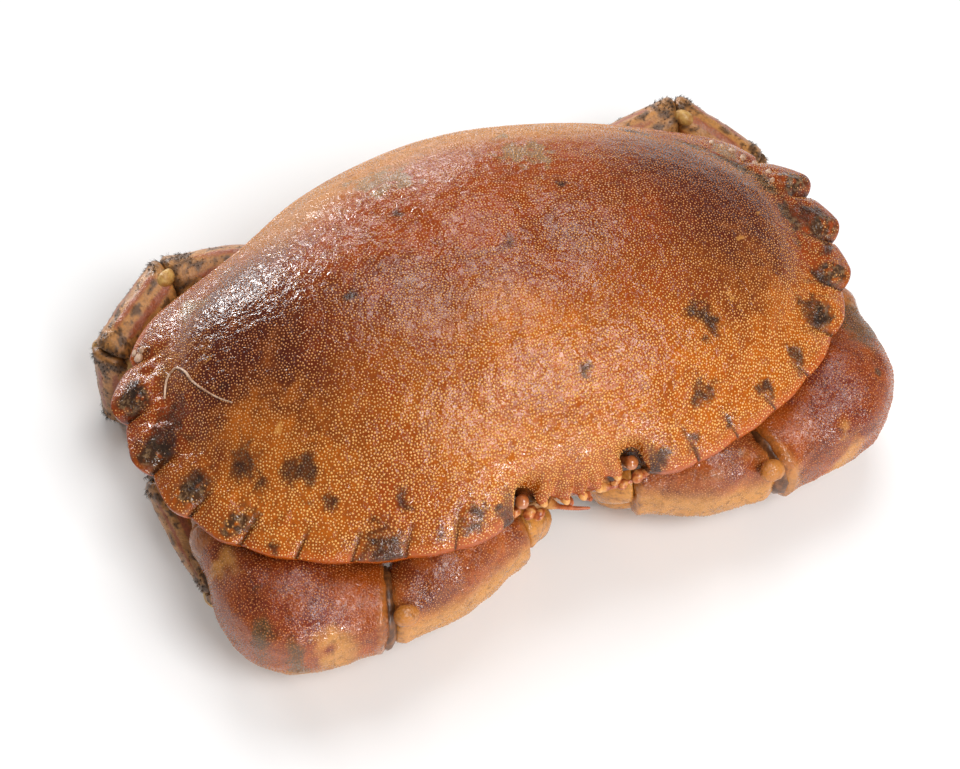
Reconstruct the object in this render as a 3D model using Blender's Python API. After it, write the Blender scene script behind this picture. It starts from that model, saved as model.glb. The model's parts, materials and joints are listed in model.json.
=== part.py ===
"""A cooked brown crab, life size, its claws folded in front of the mouth and its legs tucked under.

Sizes are in millimetres and become metres where a mesh is made. The crab faces -Y, and +X is its left.
While the pieces are shaped, z = 0 is the level of the carapace's margin. At the end the whole model is
raised to stand on z = 0.
"""

from math import cos, exp, hypot, pi, sin

import bmesh
import bpy
import numpy as np
from mathutils import Vector

MM = 0.001
GAP = 0.3

# Carapace: a broad oval, fuller in front, about a centre a little behind its middle.
CARAPACE_WIDTH = 162.0
LOBE_REACH = 3.4
LOBE_TIP_SHARE = 0.7
LOBE_NOTCH_SHARE = 0.15
LEAST_LOBE = 0.24
HALF_WIDTH = CARAPACE_WIDTH / 2 - LOBE_TIP_SHARE * LOBE_REACH
CENTRE_Y = 3.0
FRONT_REACH = 50.0
REAR_REACH = 47.5
FRONT_FULLNESS = 2.4
REAR_FULLNESS = 1.78
# The right side of the back margin is pressed in a little at one angle and stands out at another.
DENT_ANGLE = 2.47
DENT_SPREAD = 0.2
DENT_DEPTH = 0.03
BULGE_ANGLE = 2.92
BULGE_SPREAD = 0.22
BULGE_HEIGHT = 0.034
DOME_HEIGHT = 26.0
LIP = 2.2
BODY_DEPTH = 18.0
LOBES = 9
LOBE_POINTS = 6
REAR_POINTS = 9
FIRST_LOBE_WIDTH = 9.6
LOBE_GROWTH = 0.52
FISSURE_DEPTH = 0.8
EDGE_BAND = 0.12
# The head sits a little to the crab's left of the middle of the shell.
HEAD_SHIFT = 1.9
# The front between the eyes, from the middle outwards: three teeth, the inner orbit and the eye socket.
FRONT_OUTLINE = [
    (0.0, -44.0), (1.8, -41.8), (3.7, -43.7), (5.9, -41.0), (8.3, -42.6), (9.6, -41.4),
    (9.7, -39.2), (11.0, -37.9), (12.6, -37.8), (14.0, -38.9), (14.5, -41.4), (15.2, -43.8),
]
FRONT_EDGE_ANGLE = 0.335
FRONT_DIP = 3.6
TOP_RINGS = (0.13, 0.27, 0.4, 0.52, 0.63, 0.73, 0.81, 0.87, 0.915, 0.955, 1.0)
# Low swellings of the dome: middle x and y, half-sizes, height. Those off the midline are mirrored.
SWELLINGS = [
    (0.0, -16.0, 15.0, 12.0, 1.3),
    (0.0, 21.0, 10.0, 9.0, 1.0),
    (39.0, 6.0, 20.0, 17.0, 1.1),
    (30.0, -24.0, 12.0, 9.0, 0.7),
    (13.0, 6.0, 4.0, 12.0, -0.8),
]

# Underside of the body.
STERNUM_LEVEL = -30.0
FLOOR_LEVEL = -35.6
THORAX_POINTS = 40
THORAX_SIDE = 0.57
THORAX_REAR = 0.83
STERNUM_HALF_WIDTH = 24.0
STERNUM_FRONT = -25.0
STERNUM_REAR = 35.0
# Middle line of the mouth's frame, as (y, z) from the front edge of the shell down to the chest.
MOUTH_PATH = [(-33.5, -7.5), (-29.5, -16.0), (-24.0, -25.5)]
MOUTH_WIDTHS = (11.5, 11.5, 10.5)
MOUTH_DEPTHS = (3.2, 4.0, 4.0)
# Middle line of the abdomen, as (y, z) from the back of the shell down and forward under the chest.
ABDOMEN_PATH = [(43.4, -10.6), (44.2, -18), (38.8, -27.9), (28, -32.3), (12, -32.3), (-5, -32)]
ABDOMEN_WIDTHS = (12, 14, 15, 15.5, 13.5, 6)
ABDOMEN_HALF_DEPTH = 1.5

# Walking legs of the left side, from first to last: base, knee, wrist, ankle and tip.
LEG_JOINTS = {
    "leg_1": [(16, -5, -24), (69, 3, -14.5), (77.2, -1.5, -16.5), (74, -24, -26), (69.5, -37, -34.5)],
    "leg_2": [(16, 6, -24), (66, 15.5, -19.5), (72.5, 7, -27.5), (69, -12, -31.8), (75.5, -26, -34.8)],
    "leg_3": [(16, 15, -24), (57.5, 28, -18.5), (59.5, 19, -28.5), (52, 1, -31.8), (43, -16, -34.8)],
    "leg_4": [(14, 25, -24.5), (62.5, 44, -11), (77, 31, -12.5), (79.5, 29, -31.8), (58, 29, -34.6)],
}
# How far the last leg's upper segment bows out at its middle, and where its two far joints shift on each side.
LEG_BOWS = {"leg_4": (2.0, 6.5, 3.5)}
LEG_SHIFTS = {("leg_4", "left"): (-1.5, -1.5, -4.6), ("leg_4", "right"): (1.5, 0.5, 0.0)}
# Half-widths and half-heights at the five joints, and how far each segment swells between them.
LEG_WIDTHS = (4.6, 5.4, 4.8, 3.9, 0.5)
LEG_HEIGHTS = (4.6, 5.2, 4.6, 4.0, 0.5)
SEGMENTS = ("merus", "carpus", "propodus", "dactylus")
SEGMENT_SWELL = (1.06, 1.05, 1.08, 0.95)

# Cheliped of the left side: joints, then half-widths and half-heights along each segment.
CLAW_BASE = (12, -16, -24)
CLAW_ELBOW = (70, -19, -14)
CLAW_MIDDLE = (62.5, -36.5, -16.5)
CLAW_WRIST = (44, -44.5, -17)
FINGER_ROOTS = {"right": (15.5, -37.8, -18), "left": (18.8, -38.2, -18)}
CLAW_MERUS = ((6, 8, 8.5), (6, 7.5, 8))
CLAW_CARPUS = ((8.5, 14.5, 9.0), (8, 14, 10.6))
CLAW_PALM = ((7.5, 9, 7.0), (10.5, 13.0, 10.2))
FIXED_FINGER = ((4.6, 4.2, 1.2), (4.4, 3.8, 1.2))
MOVING_FINGER = ((5.6, 4.2, 1.1), (6.8, 4.2, 1.1))
# The right claw is folded as far forward as given here; the left one sits closer in.
CLAW_SHIFTS = {"right": (1.0, 0.2, 0), "left": (0.9, 3.2, 0)}
PALM_SHIFTS = {"right": (0, -0.9, 0), "left": (-0.8, 1.4, 0)}
# Paths of the fingers from the end of the palm, and of the knob at the wrist from the wrist.
FIXED_FINGER_PATH = [(3, 1.5, -6), (-4, 4.5, -11.6), (-9.5, 14, -16.6)]
MOVING_FINGER_PATH = [(2, 0, 3.5), (-6.5, 1.5, -0.5), (-10.5, 10, -12.5)]
FINGER_JOINT = 3.0
KNOB_PATH = [(-1.0, -6.5, 8.5), (-3.5, -6.5, 8.5)]
KNOB_RADIUS = 2.0

# Head pieces of the left side: paths and radii.
EYE_PATH = [(9.8, -36.0, -4.6), (11.2, -38.6, -2.7), (12.2, -40.2, -1.3)]
EYE_RADII = (1.1, 1.2, 1.6)
ANTENNA_PATHS = {
    "left": [(6.0, -38.5, -8.0), (5.7, -41.0, -5.9), (7.2, -42.1, -5.1), (10.5, -42.4, -4.9), (14.8, -42.6, -4.9)],
    "right": [(6.0, -38.5, -8.0), (6.0, -40.6, -5.8), (4.4, -42.6, -4.8), (1.6, -44.1, -4.7), (-0.8, -44.9, -4.9)],
}
ANTENNA_RADII = (1.5, 1.1, 0.5, 0.4, 0.28)
ANTENNULE_PATH = [(2.4, -38.5, -8.4), (2.0, -41.2, -6.8), (2.3, -42.6, -6.3)]
ANTENNULE_RADII = (1.2, 1.0, 0.5)
FOOT_JAW_PATH = [(5.4, -38.0, -9.0), (5.4, -34.9, -17.0), (5.2, -29.8, -26.5)]
FOOT_JAW_WIDTHS = (4.4, 4.8, 4.4)
FOOT_JAW_DEPTHS = (0.9, 1.1, 1.0)


def smooth_step(low, high, value):
    t = min(1.0, max(0.0, (value - low) / (high - low)))
    return t * t * (3 - 2 * t)


def outline_radius(angle):
    """Distance from the centre to the smooth oval behind the lobes."""
    c, s = cos(angle), sin(angle)
    reach, fullness = (FRONT_REACH, FRONT_FULLNESS) if s < 0 else (REAR_REACH, REAR_FULLNESS)
    uneven = 1 - DENT_DEPTH * exp(-(((angle - DENT_ANGLE) / DENT_SPREAD) ** 2))
    uneven += BULGE_HEIGHT * exp(-(((angle - BULGE_ANGLE) / BULGE_SPREAD) ** 2))
    return uneven * (abs(c / HALF_WIDTH) ** fullness + abs(s / reach) ** fullness) ** (-1 / fullness)


def on_oval(angle, share=1.0):
    """The point at a share of the way out to the oval, which is drawn in a little between the eyes."""
    radius = outline_radius(angle)
    x, y = radius * cos(angle), radius * sin(angle)
    dip = FRONT_DIP * (1 - smooth_step(8, 26, abs(x))) * share**5 if y < 0 else 0.0
    return share * x, CENTRE_Y + share * y + dip


def lobe_edges():
    """Angles of the fissures on the crab's left side, from the outer orbit round to the back."""
    angle = FRONT_EDGE_ANGLE - pi / 2
    step = 0.002
    edges, run, target, width = [angle], 0.0, FIRST_LOBE_WIDTH, FIRST_LOBE_WIDTH
    while len(edges) <= LOBES:
        here, there = outline_radius(angle), outline_radius(angle + step)
        run += hypot(there * cos(step) - here, there * sin(step))
        angle += step
        if run >= target:
            edges.append(angle)
            width += LOBE_GROWTH
            target += width
    return edges


def lobe_rise(t, tip):
    """How far a lobe stands out at a share of its length, from 0 at its notches to 1 at its tip."""
    if t < tip:
        return (1 - (1 - t / tip) ** 2) ** 0.5
    return ((1 - t) / (1 - tip)) ** 0.8


def margin_points():
    """The margin's points on the left side, each as angle, shift from the oval, fissure and lobe lift."""
    points = []
    last = len(FRONT_OUTLINE) - 1
    for i, (x, y) in enumerate(FRONT_OUTLINE):
        angle = FRONT_EDGE_ANGLE * i / last - pi / 2
        oval_x, oval_y = on_oval(angle)
        points.append((angle, (x - oval_x, y - oval_y), 0.0, 0.0))
    edges = lobe_edges()
    for i in range(LOBES):
        start, end = edges[i], edges[i + 1]
        size = LOBE_REACH * (LEAST_LOBE + (1 - LEAST_LOBE) * smooth_step(3, LOBES - 1, i))
        tip = 0.5 - 0.2 * smooth_step(3, 6, i)
        for k in range(1, LOBE_POINTS + 1):
            t = k / LOBE_POINTS
            rise = lobe_rise(t, tip) if k < LOBE_POINTS else 0.0
            angle = start + (end - start) * t
            reach = size * ((LOBE_TIP_SHARE + LOBE_NOTCH_SHARE) * rise - LOBE_NOTCH_SHARE)
            shift = (reach * cos(angle), reach * sin(angle))
            points.append((angle, shift, 1.0 if k == LOBE_POINTS else 0.0, 0.5 * size * rise))
    start = edges[-1]
    for k in range(1, REAR_POINTS + 1):
        t = k / REAR_POINTS
        angle = start + (pi / 2 - start) * t
        tooth = 1.8 * exp(-(((t - 0.1) / 0.09) ** 2))
        points.append((angle, (tooth * cos(angle), tooth * sin(angle)), 0.0, 0.0))
    return points


def mirrored_margin():
    left = margin_points()
    right = []
    for angle, (x, y), fissure, lift in reversed(left[1:-1]):
        right.append((pi - angle, (-x, y), fissure, lift))
    return left + right


def edge_share(share, shift):
    """How much of the margin's own shape shows at a share: a deep notch starts further in."""
    power = 1.0 + 2.2 * exp(-((hypot(*shift) / 1.6) ** 2))
    return max(0.0, 1 - (1 - share) / EDGE_BAND) ** power


def relief(x, y):
    total = 0.0
    for mid_x, mid_y, half_x, half_y, height in SWELLINGS:
        for side in (1, -1) if mid_x else (1,):
            out = ((x - side * mid_x) / half_x) ** 2 + ((y - mid_y) / half_y) ** 2
            total += height * exp(-out)
    return total


def top_level(share, margin):
    """Height of the upper surface at a share of the way out to the oval."""
    angle, shift, fissure, lift = margin
    front = max(0.0, -sin(angle)) ** 1.5
    rear = max(0.0, sin(angle)) ** 1.5
    sharpness = 1.0 - 0.25 * front - 0.3 * rear
    dome = (DOME_HEIGHT - 1.2) * max(0.0, 1 - share**2.4) ** sharpness
    x, y = on_oval(angle, share)
    side_groove = 1.2 * abs(cos(angle)) ** 4 * exp(-(((share - 0.87) / 0.05) ** 2))
    rear_groove = 1.0 * rear**3 * exp(-(((share - 0.93) / 0.03) ** 2))
    edge = edge_share(share, shift)
    droop = 1.8 * exp(-((x / 9) ** 2)) * front * smooth_step(0.85, 1.0, share)
    level = dome + relief(x, y) * (1 - share**4) - side_groove - rear_groove - droop
    return level + edge * (lift - FISSURE_DEPTH * fissure)


def under_level(share):
    """Height of the carapace's underside, which slopes in and down to the leg bases."""
    inward = min(1.0, max(0.0, (1 - share) / 0.42))
    return -LIP - (BODY_DEPTH - LIP) * inward**0.9


def on_body(share, margin, level):
    """A point at a share of the way out, with the margin's own shape fading in near the edge."""
    angle, shift, _, _ = margin
    x, y = on_oval(angle, share)
    own = edge_share(share, shift)
    x, y = x + own * shift[0], y + own * shift[1]
    head = (1 - smooth_step(12, 24, abs(x))) * smooth_step(-20, -38, y)
    return (x + HEAD_SHIFT * head, y, level)


def object_from(name, points, faces, material):
    """A mesh object from points in millimetres, with its faces pointing out."""
    bm = bmesh.new()
    verts = [bm.verts.new(Vector(p) * MM) for p in points]
    for face in faces:
        bm.faces.new([verts[i] for i in face])
    bmesh.ops.recalc_face_normals(bm, faces=bm.faces)
    mesh = bpy.data.meshes.new(name)
    bm.to_mesh(mesh)
    bm.free()
    mesh.shade_smooth()
    mesh.set_sharp_from_angle(angle=1.0)
    obj = bpy.data.objects.new(name, mesh)
    bpy.context.collection.objects.link(obj)
    if material:
        mesh.materials.append(material)
    return obj


def skin_rings(rings, first_pole, last_pole):
    """Points and faces of a closed skin over rings of equal count, with a pole at each end."""
    count = len(rings[0])
    points = [first_pole] + [p for ring in rings for p in ring] + [last_pole]
    faces = [(0, 1 + (k + 1) % count, 1 + k) for k in range(count)]
    for r in range(len(rings) - 1):
        here, there = 1 + r * count, 1 + (r + 1) * count
        for k in range(count):
            nxt = (k + 1) % count
            faces.append((here + k, here + nxt, there + nxt, there + k))
    end, base = len(points) - 1, 1 + (len(rings) - 1) * count
    faces += [(end, base + k, base + (k + 1) % count) for k in range(count)]
    return points, faces


def make_carapace(material):
    margin = mirrored_margin()
    rings = [[on_body(s, m, top_level(s, m)) for m in margin] for s in TOP_RINGS]
    rings.append([on_body(0.995, m, -0.6 * LIP) for m in margin])
    for s in (0.965, 0.9, 0.8, 0.68, 0.58):
        rings.append([on_body(s, m, under_level(s)) for m in margin])
    top = (0.0, CENTRE_Y, top_level(0.0, margin[0]))
    points, faces = skin_rings(rings, top, (0.0, CENTRE_Y, -BODY_DEPTH))
    return object_from("carapace", points, faces, material)


def thorax_ring(part, level=None, spread=1.0):
    ring = []
    middle = (STERNUM_REAR + STERNUM_FRONT) / 2
    for k in range(THORAX_POINTS):
        a = 2 * pi * (k + 0.5) / THORAX_POINTS
        share = part * (THORAX_SIDE + (THORAX_REAR - THORAX_SIDE) * smooth_step(0.45, 0.95, sin(a)))
        x, y = on_oval(a, share)
        foot_x = STERNUM_HALF_WIDTH * cos(a)
        foot_y = middle + (STERNUM_REAR - STERNUM_FRONT) / 2 * sin(a)
        height = under_level(share) - GAP - 0.1 if level is None else level
        ring.append((foot_x + (x - foot_x) * spread, foot_y + (y - foot_y) * spread, height))
    return ring


def make_thorax(material):
    """The chest under the carapace, with the frame of the mouth in front."""
    rings = [thorax_ring(0.4), thorax_ring(0.8), thorax_ring(1.0)]
    rings += [thorax_ring(1.0, -22.0, 0.8), thorax_ring(1.0, -27.5, 0.3)]
    rings.append(thorax_ring(1.0, STERNUM_LEVEL, 0.0))
    top = (0.0, CENTRE_Y, -BODY_DEPTH - GAP - 0.1)
    middle = (STERNUM_REAR + STERNUM_FRONT) / 2
    points, faces = skin_rings(rings, top, (0.0, middle, STERNUM_LEVEL))
    chest = object_from("thorax", points, faces, material)
    path = [(HEAD_SHIFT, y, z) for y, z in MOUTH_PATH]
    sizes = (MOUTH_WIDTHS, MOUTH_DEPTHS)
    mouth = limb("mouth", path, sizes, None, up=(0, -1, 0.4), sides=14, fullness=3.2)
    return joined("thorax", [chest, mouth])


def spine(points, count):
    """Points along a smooth curve through the given ones, with the share of the way at each."""
    p = [Vector(q) for q in points]
    p = [2 * p[0] - p[1]] + p + [2 * p[-1] - p[-2]]
    spans = len(p) - 3
    out = []
    for i in range(count):
        u = i / (count - 1) * spans
        k = min(int(u), spans - 1)
        t = u - k
        a, b, c, d = p[k], p[k + 1], p[k + 2], p[k + 3]
        place = 0.5 * (
            2 * b + (c - a) * t + (2 * a - 5 * b + 4 * c - d) * t**2 + (3 * b - a - 3 * c + d) * t**3
        )
        out.append((place, u / spans))
    return out


def reading(values, share):
    """A value read from an evenly spaced list, eased between its entries."""
    u = share * (len(values) - 1)
    k = min(int(u), len(values) - 2)
    t = smooth_step(0.0, 1.0, u - k)
    return values[k] + (values[k + 1] - values[k]) * t


def limb_rings(path, sizes, up, sides, count, fullness):
    """Rings of a limb: superellipses square to the path, closing in a rounded cap at each end."""
    widths, heights = sizes
    line = spine(path, count)
    up = Vector(up)
    stations = []
    for i, (place, share) in enumerate(line):
        along = (line[min(i + 1, count - 1)][0] - line[max(i - 1, 0)][0]).normalized()
        stations.append([place, along, reading(widths, share), reading(heights, share)])
    for end in (0, -1):
        place, along, width, height = stations[end]
        outward = -along if end == 0 else along
        reach = 0.9 * min(width, height)
        extra = []
        for turn in (0.6, 1.1) if sides < 14 else (0.45, 0.85, 1.2):
            centre = place + outward * reach * sin(turn)
            extra.append([centre, along, width * cos(turn), height * cos(turn)])
        stations = extra[::-1] + stations if end == 0 else stations + extra
    rings = []
    for place, along, width, height in stations:
        side = along.cross(up).normalized()
        over = side.cross(along).normalized()
        ring = []
        for k in range(sides):
            a = 2 * pi * (k + 0.5) / sides
            c, s = cos(a), sin(a)
            x = (abs(c) ** (2 / fullness)) * (1 if c > 0 else -1) * width
            y = (abs(s) ** (2 / fullness)) * (1 if s > 0 else -1) * height
            ring.append(place + side * x + over * y)
        rings.append(ring)
    return rings, stations


def limb(name, path, sizes, material, up=(0, 0, 1), sides=12, count=7, fullness=2.2):
    """A closed limb along a path; sizes holds its half-widths and its half-heights."""
    rings, stations = limb_rings(path, sizes, up, sides, count, fullness)
    ends = []
    for end in (0, -1):
        place, along, width, height = stations[end]
        ends.append(place + (-along if end == 0 else along) * 0.25 * min(width, height))
    points, faces = skin_rings(rings, ends[0], ends[1])
    return object_from(name, points, faces, material)


def cut_away(obj, place, outward):
    """Cuts off what lies beyond a plane and closes the cut flat."""
    bm = bmesh.new()
    bm.from_mesh(obj.data)
    normal = Vector(outward).normalized()
    where = (Vector(place) - normal * GAP / 2) * MM
    whole = bm.verts[:] + bm.edges[:] + bm.faces[:]
    bmesh.ops.bisect_plane(bm, geom=whole, dist=1e-7, plane_co=where, plane_no=normal, clear_outer=True)
    rim = [e for e in bm.edges if e.is_boundary]
    if rim:
        bmesh.ops.edgeloop_fill(bm, edges=rim)
    bmesh.ops.recalc_face_normals(bm, faces=bm.faces)
    bm.to_mesh(obj.data)
    bm.free()


def flatten_on_floor(obj):
    for v in obj.data.vertices:
        v.co.z = max(v.co.z, FLOOR_LEVEL * MM)


def swollen(obj, by=GAP):
    """A hidden copy, grown outwards, that cuts a neighbour clear of this piece."""
    mesh = obj.data.copy()
    normals = [v.normal.copy() for v in mesh.vertices]
    for v, n in zip(mesh.vertices, normals):
        v.co += n * by * 1.5 * MM
    copy = bpy.data.objects.new(obj.name + "_cutter", mesh)
    bpy.context.collection.objects.link(copy)
    copy.hide_render = True
    copy.display_type = "WIRE"
    return copy


def boolean(obj, other, operation):
    step = obj.modifiers.new(operation.lower(), "BOOLEAN")
    step.operation = operation
    step.object = other
    step.solver = "MANIFOLD"
    graph = bpy.context.evaluated_depsgraph_get()
    result = bpy.data.meshes.new_from_object(obj.evaluated_get(graph))
    obj.modifiers.remove(step)
    old = obj.data
    obj.data = result
    bpy.data.meshes.remove(old)


def keep_largest(obj):
    """Drops loose scraps that a cut leaves."""
    bm = bmesh.new()
    bm.from_mesh(obj.data)
    left, groups = set(bm.faces), []
    while left:
        group, stack = set(), [next(iter(left))]
        while stack:
            face = stack.pop()
            if face in group:
                continue
            group.add(face)
            stack += [f for e in face.edges for f in e.link_faces if f not in group]
        left -= group
        groups.append(group)
    if len(groups) > 1:
        biggest = max(groups, key=len)
        bmesh.ops.delete(bm, geom=[f for f in bm.faces if f not in biggest], context="FACES")
        bm.to_mesh(obj.data)
    bm.free()


def trim(obj, cutters):
    for cutter in cutters:
        if overlapping(obj, cutter):
            boolean(obj, cutter, "DIFFERENCE")
    keep_largest(obj)


def overlapping(obj, other):
    """Whether the boxes of two pieces meet."""
    a = np.array([v.co for v in obj.data.vertices])
    b = np.array([v.co for v in other.data.vertices])
    return bool((a.min(0) < b.max(0)).all() and (b.min(0) < a.max(0)).all())


def joined(name, pieces):
    """One closed body from overlapping pieces."""
    base = pieces[0]
    for other in pieces[1:]:
        boolean(base, other, "UNION")
        bpy.data.objects.remove(other)
    keep_largest(base)
    base.name = name
    base.data.name = name
    return base


def plain_material(name, colour, roughness):
    material = bpy.data.materials.new(name)
    material.use_nodes = True
    shader = material.node_tree.nodes["Principled BSDF"]
    shader.inputs["Base Color"].default_value = (*colour, 1.0)
    shader.inputs["Roughness"].default_value = roughness
    shader.inputs["Metallic"].default_value = 0.0
    return material


def mirror_path(points, side):
    return [(side * x, y, z) for x, y, z in points]


def joint_normal(joints, i):
    """Square to the plane that halves the bend at a joint."""
    before = (Vector(joints[i]) - Vector(joints[i - 1])).normalized()
    after = (Vector(joints[i + 1]) - Vector(joints[i])).normalized()
    return (before + after).normalized()


def leg_joints(name, side, side_name):
    """The joints of one leg, and the middle of its upper segment."""
    joints = [Vector(p) for p in LEG_JOINTS[name]]
    for i in (2, 3):
        joints[i] += Vector(LEG_SHIFTS.get((name, side_name), (0, 0, 0)))
    knee_side = (joints[0] + joints[1]) / 2 + Vector(LEG_BOWS.get(name, (0, 0, 0)))
    *joints, knee_side = mirror_path([*joints, knee_side], side)
    return joints, knee_side


def make_leg(name, side, side_name, material):
    joints, bow = leg_joints(name, side, side_name)
    pieces = []
    for i, segment in enumerate(SEGMENTS):
        start, end = Vector(joints[i]), Vector(joints[i + 1])
        middle = (start + end) / 2 if i else Vector(bow)
        sizes = []
        for values in (LEG_WIDTHS, LEG_HEIGHTS):
            swell = (values[i] + values[i + 1]) / 2 * SEGMENT_SWELL[i]
            sizes.append([values[i], swell, values[i + 1]])
        full_name = f"{name}_{segment}_{side_name}"
        sides = 10 if i < 3 else 8
        piece = limb(full_name, [start, middle, end], sizes, material, sides=sides, count=4)
        if i > 0:
            cut_away(piece, start, -joint_normal(joints, i))
        if i < 3:
            cut_away(piece, end, joint_normal(joints, i + 1))
        flatten_on_floor(piece)
        pieces.append(piece)
    return pieces


def make_claw(side, side_name, material):
    joints = (CLAW_BASE, CLAW_ELBOW, CLAW_MIDDLE, CLAW_WRIST, FINGER_ROOTS[side_name])
    base, elbow, middle, wrist, root = (Vector((side * x, y, z)) for x, y, z in joints)
    shift, palm_shift = Vector(CLAW_SHIFTS[side_name]), Vector(PALM_SHIFTS[side_name])
    elbow, middle = elbow + shift, middle + shift
    wrist, root = wrist + palm_shift, root + palm_shift
    bends = [base, elbow, wrist, root]
    upper = [base, (base + elbow) / 2, elbow]
    merus = limb(f"claw_merus_{side_name}", upper, CLAW_MERUS, material)
    cut_away(merus, elbow, joint_normal(bends, 1))
    path = [elbow, middle, wrist]
    carpus = limb(f"claw_carpus_{side_name}", path, CLAW_CARPUS, material, sides=16, count=8, fullness=2.5)
    cut_away(carpus, elbow, -joint_normal(bends, 1))
    cut_away(carpus, wrist, joint_normal(bends, 2))
    along = (root - wrist).normalized()
    path = [wrist, (wrist + root) / 2, root + along * 2]
    palm = limb(f"claw_propodus_{side_name}", path, CLAW_PALM, material, sides=16, count=7, fullness=2.3)
    cut_away(palm, wrist, -joint_normal(bends, 2))
    cut_away(palm, root + along * FINGER_JOINT, along)
    path = [root + Vector(p) for p in mirror_path(FIXED_FINGER_PATH, side)]
    finger = limb("fixed_finger", path, FIXED_FINGER, None, sides=10, count=6)
    path = [wrist + Vector(p) for p in mirror_path(KNOB_PATH, side)]
    knob = limb("wrist_knob", path, [[KNOB_RADIUS] * 2] * 2, None, sides=8, count=2)
    palm = joined(f"claw_propodus_{side_name}", [palm, finger, knob])
    path = [root + Vector(p) for p in mirror_path(MOVING_FINGER_PATH, side)]
    dactylus = limb(f"claw_dactylus_{side_name}", path, MOVING_FINGER, material, sides=10, count=6)
    cut_away(dactylus, root + along * FINGER_JOINT, -along)
    return [dactylus, palm, carpus, merus]


def make_abdomen(material):
    path = [(0, y, z) for y, z in ABDOMEN_PATH]
    sizes = (ABDOMEN_WIDTHS, [ABDOMEN_HALF_DEPTH] * len(path))
    return limb("abdomen", path, sizes, material, up=(0, 0.6, 1), count=12, fullness=2.6)


def make_head(side, side_name, shell, eye_material, pale):
    """The eye, the two feelers and the flap over the mouth of one side."""
    path = mirror_path(EYE_PATH, side)
    eye = limb(f"eye_{side_name}", path, (EYE_RADII, EYE_RADII), eye_material, count=5)
    path = mirror_path(ANTENNA_PATHS[side_name], side)
    sizes = (ANTENNA_RADII, ANTENNA_RADII)
    antenna = limb(f"antenna_{side_name}", path, sizes, shell, sides=6, count=8)
    path = mirror_path(ANTENNULE_PATH, side)
    sizes = (ANTENNULE_RADII, ANTENNULE_RADII)
    antennule = limb(f"antennule_{side_name}", path, sizes, shell, sides=6, count=4)
    path = mirror_path(FOOT_JAW_PATH, side)
    sizes = (FOOT_JAW_WIDTHS, FOOT_JAW_DEPTHS)
    foot_jaw = limb(f"maxilliped_{side_name}", path, sizes, pale, up=(0, -1, 0.4), sides=10, fullness=3.0)
    return [eye, antenna, antennule, foot_jaw]


def clear_scene():
    for obj in list(bpy.data.objects):
        bpy.data.objects.remove(obj)


def stand_on_origin():
    """Moves all so that the middle of the footprint is the origin and the floor is z = 0."""
    pieces = [obj for obj in bpy.data.objects if not obj.hide_render]
    points = np.array([v.co for obj in pieces for v in obj.data.vertices])
    low, high = points.min(0), points.max(0)
    shift = Vector((-(low[0] + high[0]) / 2, -(low[1] + high[1]) / 2, -low[2]))
    for obj in bpy.data.objects:
        for v in obj.data.vertices:
            v.co += shift


def main():
    clear_scene()
    shell = plain_material("shell", (0.42, 0.14, 0.035), 0.35)
    belly = plain_material("belly", (0.72, 0.52, 0.3), 0.45)
    claw = plain_material("claw", (0.4, 0.13, 0.06), 0.35)
    leg = plain_material("leg", (0.45, 0.22, 0.1), 0.5)
    horn = plain_material("eye", (0.35, 0.16, 0.08), 0.15)
    carapace = make_carapace(shell)
    thorax = make_thorax(belly)
    trim(thorax, [swollen(carapace)])
    abdomen = make_abdomen(belly)
    cutters = [swollen(carapace), swollen(thorax, 1.3 * GAP)]
    trim(abdomen, cutters)
    cutters.append(swollen(abdomen))
    for side, side_name in ((1, "left"), (-1, "right")):
        head = make_head(side, side_name, shell, horn, belly)
        claws = make_claw(side, side_name, claw)
        legs = []
        for name in LEG_JOINTS:
            legs += make_leg(name, side, side_name, leg)
        for piece in head + claws + legs:
            for v in piece.data.vertices:
                v.co.x += HEAD_SHIFT * MM
        for piece in claws + legs + head:
            flatten_on_floor(piece)
            trim(piece, cutters)
            cutters.append(swollen(piece))
    stand_on_origin()


main()
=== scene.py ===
"""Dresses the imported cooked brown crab: shell, claws, legs, head, bristles, floor, light and camera."""

import json
import math

import bmesh
import bpy
import numpy as np
from mathutils import Matrix, Vector, noise

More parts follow.
